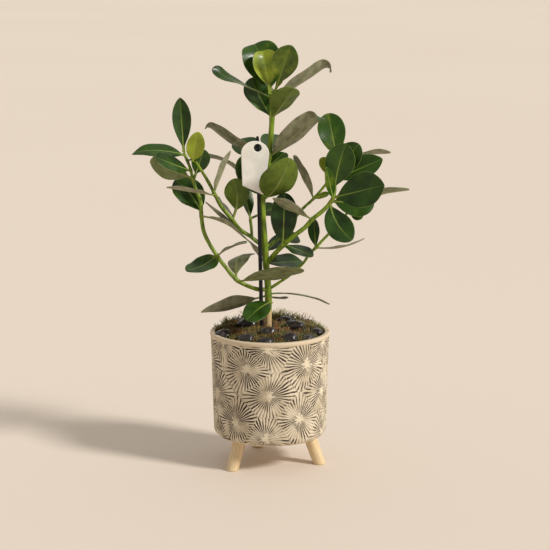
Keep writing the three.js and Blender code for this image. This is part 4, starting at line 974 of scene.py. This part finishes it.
def nearest_burst(turn, height, radius):
    """For each point of the wall: its place from the middle of the nearest burst, across and up, in
    millimetres on the unrolled wall, that burst's number, and half the extra way to the second
    nearest, which is nothing on the line between two bursts."""
    centres = burst_centres()
    gap = turn[..., None] - centres[:, 0]
    dx = ((gap + np.pi) % (2 * np.pi) - np.pi) * radius
    dz = height[..., None] - centres[:, 1]
    way = np.hypot(dx, dz * 1.1)
    order = np.argsort(way, axis=-1)[..., :2]
    first, second = (np.take_along_axis(way, order[..., i:i + 1], -1)[..., 0] for i in (0, 1))
    x, z = (np.take_along_axis(v, order[..., :1], -1)[..., 0] for v in (dx, dz))
    return x, z, order[..., 0].astype(float), (second - first) / 2


def between(ends, share):
    return ends[0] + (ends[1] - ends[0]) * share


def stroke_depth(x, z, star, to_line):
    """How far each point is inside a carved stroke, in millimetres, negative outside. Round a burst's
    middle run STROKES wedges, one in each slice of the circle. A wedge is HALF_SHARE of its slice wide
    on each side, at most HALF_LIMIT, starts STROKE_START out and stops STROKE_STOP before the line to
    the next burst, all by one chance number: the part after the point of
    97.3 sin(1.7 stroke + 2.3 burst)."""
    away = np.hypot(x, z)
    slices = np.arctan2(z, x) / (2 * np.pi) * STROKES + BURST_TURN * star + WANDER / 2
    stroke = np.floor(slices)
    chance = np.abs(np.modf(97.3 * np.sin(1.7 * stroke + 2.3 * star))[0])
    slice_width = 2 * np.pi * away / STROKES
    off_line = np.abs(slices - stroke - 0.5) * slice_width
    half = np.minimum(slice_width * between(HALF_SHARE, chance), between(HALF_LIMIT, chance))
    before = to_line - between(STROKE_STOP, chance)
    after = away - between(STROKE_START, chance)
    return np.minimum(np.minimum(half - off_line, before), after)


def arc(cx, cz, radius, start, end, count):
    """Points on an arc, from one angle to another, in radians."""
    a = np.linspace(start, end, count + 1)
    return np.stack([cx + radius * np.cos(a), cz + radius * np.sin(a)], 1)


def line(a, b, count):
    """Evenly spaced points on a straight line, without its last point."""
    s = np.linspace(0, 1, count, endpoint=False)[:, None]
    return np.array(a) * (1 - s) + np.array(b) * s


def make_pot():
    """The pot's profile carried round: underside, rounded bottom edge, a wall that widens upwards,
    the plain lip, and the inside down to its floor. The carved strokes go CARVED_DEPTH in."""
    slope = (BODY_TOP_RADIUS - BODY_FOOT_RADIUS) / (RIM_HEIGHT - POT_LIFT - BOTTOM_CORNER)
    bore_top = BODY_TOP_RADIUS - POT_WALL
    bore_foot = BODY_FOOT_RADIUS - POT_WALL
    band = RIM_HEIGHT - LIP_BAND
    corner = POT_LIFT + BOTTOM_CORNER
    floor = POT_LIFT + POT_FLOOR
    underside, corner_steps, wall_steps, segments = 3, 14, 124, 600
    parts = [
        [[0, POT_LIFT]],
        line([20, POT_LIFT], [BODY_FOOT_RADIUS - BOTTOM_CORNER, POT_LIFT], underside),
        arc(BODY_FOOT_RADIUS - BOTTOM_CORNER, corner, BOTTOM_CORNER, -np.pi / 2, 0, corner_steps)[:-1],
        line([BODY_FOOT_RADIUS, corner], [BODY_TOP_RADIUS, band], wall_steps),
        [[BODY_TOP_RADIUS + 0.1, band], [RIM_RADIUS - 0.2, band + 0.25], [RIM_RADIUS, band + 0.7]],
        arc(RIM_RADIUS - 1.5, RIM_HEIGHT - 1.5, 1.5, 0, np.pi / 2, 4),
        arc(bore_top + 1, RIM_HEIGHT - 1, 1, np.pi / 2, np.pi, 3),
        line([bore_top, RIM_HEIGHT - 2], [bore_foot, floor + INNER_CORNER], 4),
        arc(bore_foot - INNER_CORNER, floor + INNER_CORNER, INNER_CORNER, 0, -np.pi / 2, 4),
        [[0, floor]],
    ]
    profile = np.vstack(parts)
    turn = np.linspace(0, 2 * np.pi, segments, endpoint=False)
    turn, height = np.broadcast_arrays(turn[None], profile[1:-1, 1, None])
    outside = (np.arange(len(profile) - 2) < underside + corner_steps + wall_steps)[:, None]
    x, z, star, to_line = nearest_burst(turn, height, BODY_FOOT_RADIUS + slope * (band - corner) / 2)
    panel = outside & (height > POT_LIFT + 2.2) & (height < band - 0.5)
    cut = smooth_step(stroke_depth(x, z, star, to_line), -0.3, 0.3) * panel
    ball = np.stack([BODY_TOP_RADIUS * np.cos(turn), BODY_TOP_RADIUS * np.sin(turn), height], -1)
    hand_made = (0.12 * ripple(ball, 38, 3) - 0.12) * panel
    marks = {"from_middle": x, "above_middle": z, "star": star, "to_line": to_line, "panel": panel * 1.0}
    return turned_piece("pot_skin", profile, segments, marks, hand_made - CARVED_DEPTH * cut)


# ------------------------------------------------------------------ pegs
def make_peg(name, turn_degrees):
    """A turned taper leaning outwards, cut level at floor and pot: on the line at angle q of its
    side, height z is reached at a = (z - zc - r cos q sin s) / (cos s + k cos q sin s), with s the
    splay and k the taper. The foot's edge is rounded by 0.8 mm."""
    taper = (PEG_TOP_RADIUS - PEG_FOOT_RADIUS) / POT_LIFT
    middle_radius = (PEG_TOP_RADIUS + PEG_FOOT_RADIUS) / 2
    out = PEG_SPREAD - math.tan(PEG_SPLAY) * POT_LIFT / 2
    zc = POT_LIFT / 2
    s, c = math.sin(PEG_SPLAY), math.cos(PEG_SPLAY)
    height = np.concatenate([[0, 0, 0.25, 0.9], np.linspace(2, POT_LIFT - GAP, 24), [POT_LIFT - GAP]])
    trim = np.concatenate([[1.6, 0.8, 0.25, 0], np.zeros(24), [0.5]])
    q = np.linspace(0, 2 * np.pi, 49)
    a = (height[:, None] - zc - middle_radius * np.cos(q) * s) / (c + taper * np.cos(q) * s)
    r = middle_radius + taper * a - trim[:, None]
    level = height[:, None] + 0 * q
    x = out - a * s + r * np.cos(q) * c
    y = r * np.sin(q)
    turn = math.radians(turn_degrees)
    round_x, round_y = x * math.cos(turn) - y * math.sin(turn), x * math.sin(turn) + y * math.cos(turn)
    rings = np.stack([round_x, round_y, level], -1)
    grid_uv = np.stack([middle_radius * q + 0 * a, level / c], -1) / 1000
    ends = [rings[i, :-1].mean(0) for i in (0, -1)]
    return ring_piece(name, rings[:, :-1], ends[0], ends[1], None, grid_uv)


# ------------------------------------------------------------------ growing bed
def soil_height(r):
    return SOIL_EDGE + SOIL_CROWN * (1 - (r / BED_RADIUS) ** 2)


def moss_height(x, y):
    """Top of the moss: the soil's crown, an even depth, a bank towards the back wall and five shallow
    lumps round it."""
    r, turn = np.hypot(x, y), np.arctan2(y, x)
    out = r / BED_RADIUS
    bank = MOSS_BACK_RISE * np.maximum(0, np.sin(turn)) * out ** 2
    return soil_height(r) + MOSS_DEPTH + bank + 1.3 * np.sin(5 * turn + 1) * np.sin(np.pi * out)


def make_bed(name, top_of, bottom_height, radius, segments=160, rows=60):
    """A round bed as one skin: rings from the middle outwards over the top, then down the side and
    in under the bottom."""
    turn = np.linspace(0, 2 * np.pi, segments, endpoint=False)
    r = np.concatenate([np.linspace(1, radius, rows), [radius + 0.2, radius - 0.5, radius / 2]])[:, None]
    x, y = r * np.cos(turn), r * np.sin(turn)
    z = top_of(x, y)
    z[-3:] = np.array([[0.35], [1], [1]]) * (bottom_height - z[-4:-3]) + z[-4:-3]
    rings = np.stack([x, y, z], -1)
    start = [0, 0, float(top_of(np.zeros(1), np.zeros(1))[0])]
    # On the moss mat, up 0.12 makes the moss material paint it near black: painted shade under the strands.
    # The soil's material reads neither mark.
    marks = {"tint": 0.35 + 0.3 * ripple(rings, 9, 41), "up": np.full(rings.shape[:2], 0.12)}
    return ring_piece(name, rings, start, [0, 0, bottom_height], marks)


def soil_top(x, y):
    """The soil's crown with crumbs on it, as two sizes of noise."""
    p = np.stack([x, y, 0 * x], -1)
    return soil_height(np.hypot(x, y)) - 1 + 0.7 * ripple(p, 7, 21) + 0.4 * ripple(p, 3, 22)


def moss_mat_top(x, y):
    """The mat under the strands: a little lower than the moss, with rolling lumps."""
    p = np.stack([x, y, 0 * x], -1)
    return moss_height(x, y) - 1.6 + 0.9 * ripple(p, 9, 31) + 0.7 * ripple(p, 3.5, 32)


# Pebbles: middle in bed radii, half sizes in millimetres, turn in degrees. The three that the frame
# has come first.
PEBBLES = [
    ("pebble_front_left", (-0.43, -0.69), (10, 7.5, 6.5), -30),
    ("pebble_front", (-0.07, -0.82), (9.5, 7, 5), 5),
    ("pebble_right", (0.69, -0.54), (9, 7, 5.5), 52),
    ("pebble_far_left", (-0.83, -0.3), (9.5, 8, 8), 30),
    ("pebble_upper_left", (-0.43, 0.16), (11, 8, 7), 5),
    ("pebble_middle", (-0.02, -0.4), (10, 7.5, 6.5), 10),
    ("pebble_right_front", (0.35, -0.74), (9.5, 7, 8), -15),
    ("pebble_far_right", (0.85, -0.12), (9, 7, 6.5), -60),
    ("pebble_right_back", (0.46, 0.02), (11.5, 8, 7), -12),
    ("pebble_back_centre", (0.3, 0.48), (9.5, 7, 6), -5),
    ("pebble_back", (-0.12, 0.74), (8.5, 6, 5), 25),
    ("pebble_back_left", (-0.62, 0.58), (8, 6, 4.5), 120),
    ("pebble_back_right", (0.68, 0.55), (8, 5.5, 4.5), 40),
]


def make_pebble(name, middle, half, turn_degrees):
    """A water-worn pebble, half sunk in the moss: an ellipsoid, made a little boxier by the power
    0.9 of its coordinates, whose radius varies by slow noise."""
    q = np.linspace(0, 2 * np.pi, 40, endpoint=False)
    p = np.linspace(0, np.pi, 26)[1:-1, None]
    ball = np.stack([np.sin(p) * np.cos(q), np.sin(p) * np.sin(q), np.cos(p) + 0 * q], -1)
    seed = sum(map(ord, name))
    shape = np.sign(ball) * np.abs(ball) ** 0.9 * (1 + 0.12 * ripple(ball * 10, 9, seed))[..., None] * half
    turn = math.radians(turn_degrees)
    x = shape[..., 0] * math.cos(turn) - shape[..., 1] * math.sin(turn)
    y = shape[..., 0] * math.sin(turn) + shape[..., 1] * math.cos(turn)
    centre = np.array([*middle, 0]) * BED_RADIUS
    centre[2] = float(moss_height(centre[0], centre[1])) + 0.5
    rings = np.stack([x, y, shape[..., 2]], -1) + centre
    return ring_piece(name, rings, centre + [0, 0, half[2]], centre - [0, 0, half[2]])


def moss_paths(rows):
    """The middle line, width and tint of each moss strand: a curve base + way s + droop s^2. Tufts
    lean outwards, none grows on a pebble or leans out past the rim, and they stand taller towards
    the back and the sides. Rust and yellow tufts are in the middle, green ones round the wall."""
    dice = np.random.default_rng(8)
    tufts, each = 620, 9
    r = (BED_RADIUS - 1) * np.sqrt(dice.uniform(0.003, 1, tufts))
    turn = dice.uniform(0, 2 * np.pi, tufts)
    spot = np.stack([r * np.cos(turn), r * np.sin(turn)], 1)
    centres = np.array([p[1] for p in PEBBLES]) * BED_RADIUS
    room = np.linalg.norm(spot[:, None] - centres, axis=2).min(1)
    spot = spot[room > 7]
    tufts = len(spot)
    out = np.hypot(*spot.T) / BED_RADIUS
    back = np.clip(spot[:, 1] / BED_RADIUS, -0.4, 1)
    tall = 3 + 3.4 * dice.uniform(size=tufts) + (4.2 + 3.6 * back) * out ** 2
    tuft_tint = np.clip(0.25 + 0.5 * out ** 2 + dice.normal(0, 0.36, tufts), 0, 1)
    spot, tall, tuft_tint = (np.repeat(v, each, axis=0) for v in (spot, tall, tuft_tint))
    count = tufts * each
    spread = dice.uniform(0, 2 * np.pi, count)
    lean = dice.uniform(0.1, 1.2, count)
    tall = tall * dice.uniform(0.45, 1.2, count)
    base = spot + dice.normal(0, 1.2, (count, 2))
    base = base * np.minimum(1, (BED_RADIUS - 1) / np.hypot(*base.T))[:, None]
    foot = np.column_stack([base, moss_height(base[:, 0], base[:, 1]) - 1.8])
    way = np.stack([np.cos(spread) * lean, np.sin(spread) * lean, np.ones(count)], 1) * tall[:, None]
    droop = np.stack([np.cos(spread), np.sin(spread), -0.5 * lean], 1) * (0.35 * tall * lean)[:, None]
    s = np.linspace(0, 1, rows + 1)[None, :, None]
    path = foot[:, None] + way[:, None] * s + droop[:, None] * s ** 2
    path = path + dice.normal(0, 0.25, path.shape) * s
    path[..., :2] *= np.minimum(1, (RIM_RADIUS - 1.2) / np.hypot(path[..., 0], path[..., 1]))[..., None]
    wide = 0.66 * dice.uniform(0.6, 1.2, count)[:, None] * np.sqrt(1.02 - s[..., 0])
    tint = np.clip(tuft_tint + dice.normal(0, 0.1, count), 0, 1)
    return path, wide, tint


def make_moss_strands():
    """Moss as loose strands along moss_paths: each strand is a three-sided taper of four rings and a
    point."""
    rows = 4
    path, wide, tint = moss_paths(rows)
    count = len(path)
    q = np.arange(3) * 2 * np.pi / 3
    wheel = np.stack([np.cos(q), np.sin(q), 0 * q], 1)
    rings = path[:, :-1, None] + wheel * wide[:, :-1, None, None]
    points = np.concatenate([rings.reshape(count, -1, 3), path[:, -1:]], 1)
    step = points.shape[1]
    quads, _ = ring_faces(rows, 3)
    last = (rows - 1) * 3
    caps = np.array([[2, 1, 0], [last, last + 1, step - 1], [last + 1, last + 2, step - 1],
                     [last + 2, last, step - 1]])
    shift = (np.arange(count) * step)[:, None, None]
    # up runs from 0 at a strand's foot to 1 at its tip; the moss material paints each strand darker towards
    # its foot as painted shade
    up = np.append(np.repeat(np.arange(rows) / rows, 3), 1)
    marks = {"tint": np.repeat(tint, step), "up": np.tile(up, count)}
    return make_piece("moss_strands", points.reshape(-1, 3), quads + shift, caps + shift, marks)


# ------------------------------------------------------------------ stake, loop and tag
STAKE_FOOT = plant_point([-9, -3, -ROOT_DEPTH])
STAKE_TOP = plant_point([-13.6, -9, 215])
LOOP_MIDDLE = STAKE_FOOT + (STAKE_TOP - STAKE_FOOT) * LOOP_PLACE


def make_stake():
    """A straight round rod, thinner towards its top, with both ends domed."""
    share = np.concatenate([np.linspace(0, 0.01, 8), np.linspace(0.015, 0.985, 40), np.linspace(0.99, 1, 8)])
    path = STAKE_FOOT + share[:, None] * (STAKE_TOP - STAKE_FOOT)
    taper = np.interp(share, [0, 0.5, 1], [STAKE_RADIUS, STAKE_RADIUS, STAKE_RADIUS * 0.75])
    return swept_piece("stake_rod", path, domed(share, taper, 0.008), 28)


def make_loop():
    """A round ring of round wire: centre + (R + r cos p)(cos q, sin q) and r sin p, with the joint of
    the wire as a slightly thicker stretch at the back."""
    q = np.linspace(0, 2 * np.pi, 72, endpoint=False)[:, None]
    p = np.linspace(0, 2 * np.pi, 18, endpoint=False)
    thick = LOOP_WIRE_RADIUS * (0.94 + 0.06 * smooth_step(np.sin(q), 0.8, 0.95))
    out = LOOP_RADIUS + thick * np.cos(p)
    rings = np.stack([out * np.cos(q), out * np.sin(q), thick * np.sin(p) + 0 * q], -1) + LOOP_MIDDLE
    quads, _ = ring_faces(72, 18, loop=True)
    return make_piece("loop_wire", rings.reshape(-1, 3), quads)


def tag_outline(count):
    """The card's outline, by equal steps round it: a low round top, straight sides that draw in a
    little, and small round corners at a foot cut slantwise."""
    w, foot, corner = TAG_WIDTH / 2, TAG_WIDTH / 2 * 0.8, 2
    shoulder = TAG_HEIGHT * 0.24
    a = np.linspace(0, np.pi, 40)
    top = np.stack([w * np.cos(a), shoulder * (np.sin(a) - 1)], 1)
    b = np.linspace(0, np.pi / 2, 7)
    low_left = TAG_SLANT - TAG_HEIGHT + corner
    left = np.stack([corner - foot - corner * np.cos(b), low_left - corner * np.sin(b)], 1)
    right = np.stack([foot - corner + corner * np.sin(b), corner - TAG_HEIGHT - corner * np.cos(b)], 1)
    edge = np.vstack([top, left, right, top[:1]])
    run = np.append(0, np.cumsum(np.linalg.norm(np.diff(edge, axis=0), axis=1)))
    s = np.linspace(0, run[-1], count, endpoint=False)
    return np.stack([np.interp(s, run, edge[:, i]) for i in (0, 1)], 1)


def make_tag():
    """The card as rings between its hole and its outline: over the front, round the outside edge, back
    over the back, and through the hole. The card bows by 0.3 mm across its width."""
    count = 200
    outer = tag_outline(count)
    hole_drop = TAG_HOLE_RADIUS + TAG_HOLE_MARGIN
    hole_middle = np.array([TAG_HOLE_OFFSET, -hole_drop])
    angle = np.arctan2(*(outer - hole_middle).T[::-1])
    hole = hole_middle + TAG_HOLE_RADIUS * np.stack([np.cos(angle), np.sin(angle)], 1)
    outwards = np.concatenate([[0, 0.02], np.linspace(0.1, 0.9, 14), [0.985, 1]])
    share = np.concatenate([outwards, outwards[::-1]])[:, None, None]
    front = np.concatenate([[0.35], np.full(16, 0.5), [0.35]])
    depth = np.concatenate([front, -front])[:, None]
    flat = hole + share * (outer - hole)
    x, z = flat[..., 0], flat[..., 1]
    bow = 0.3 * (1 - (2 * x / TAG_WIDTH) ** 2) - 0.15
    y = depth * TAG_THICKNESS - bow
    x, z = x - TAG_HOLE_OFFSET, z + hole_drop
    turned_x = x * math.cos(TAG_TILT) + z * math.sin(TAG_TILT)
    turned_z = z * math.cos(TAG_TILT) - x * math.sin(TAG_TILT)
    place = [LOOP_MIDDLE[0], LOOP_MIDDLE[1] - LOOP_RADIUS * 0.8, LOOP_MIDDLE[2]]
    rings = np.stack([turned_x, y, turned_z], -1) + place
    quads, _ = ring_faces(len(rings), count, loop=True)
    return make_piece("tag_card", rings.reshape(-1, 3), quads)


# ------------------------------------------------------------------ putting it together
set_the_stage()

upper, under = leaf_upper_side(), leaf_under_side()
for name, stem, at, reach, width, facing, shape in LEAVES:
    nodes = [] if shape.get("joined") else [name]
    blade = make_leaf(name + "_blade", stem, at, reach, width, facing, shape)
    dress(blade, [upper, under], slot_of.get(name, "leaf_upper"), *nodes)

bark = stem_skin()
for name in STEMS:
    leaf_places = [row[2] for row in LEAVES if row[1] == name]
    nodes = [] if STEMS[name].get("joined") else [name]
    dress(make_stem(name, leaf_places), [bark], "stem", *nodes)

dress(make_pot(), [carved_clay()], "glazed_clay", "pot")
wood = turned_wood()
for number, angle in enumerate(PEG_ANGLES, 1):
    dress(make_peg(f"peg_{number}_turned", angle), [wood], "turned_wood", f"peg_{number}")

dress(make_bed("soil_crumbs", soil_top, SOIL_BOTTOM, SOIL_RADIUS), [potting_soil()], "soil", "soil")
strands = moss_strands()
dress(make_bed("moss_mat", moss_mat_top, MAT_BOTTOM, BED_RADIUS), [strands], "moss", "moss")
dress(make_moss_strands(), [strands], "moss")
black_stone = polished_pebble()
for name, middle, half, turn in PEBBLES:
    nodes = [name] if name in slot_of else []
    dress(make_pebble(name + "_stone", middle, half, turn), [black_stone], "pebble", *nodes)

plastic = black_plastic()
dress(make_stake(), [plastic], "black_plastic", "stake")
dress(make_loop(), [plastic], "black_plastic", "tag_loop")
dress(make_tag(), [uncoated_card()], "card", "tag")
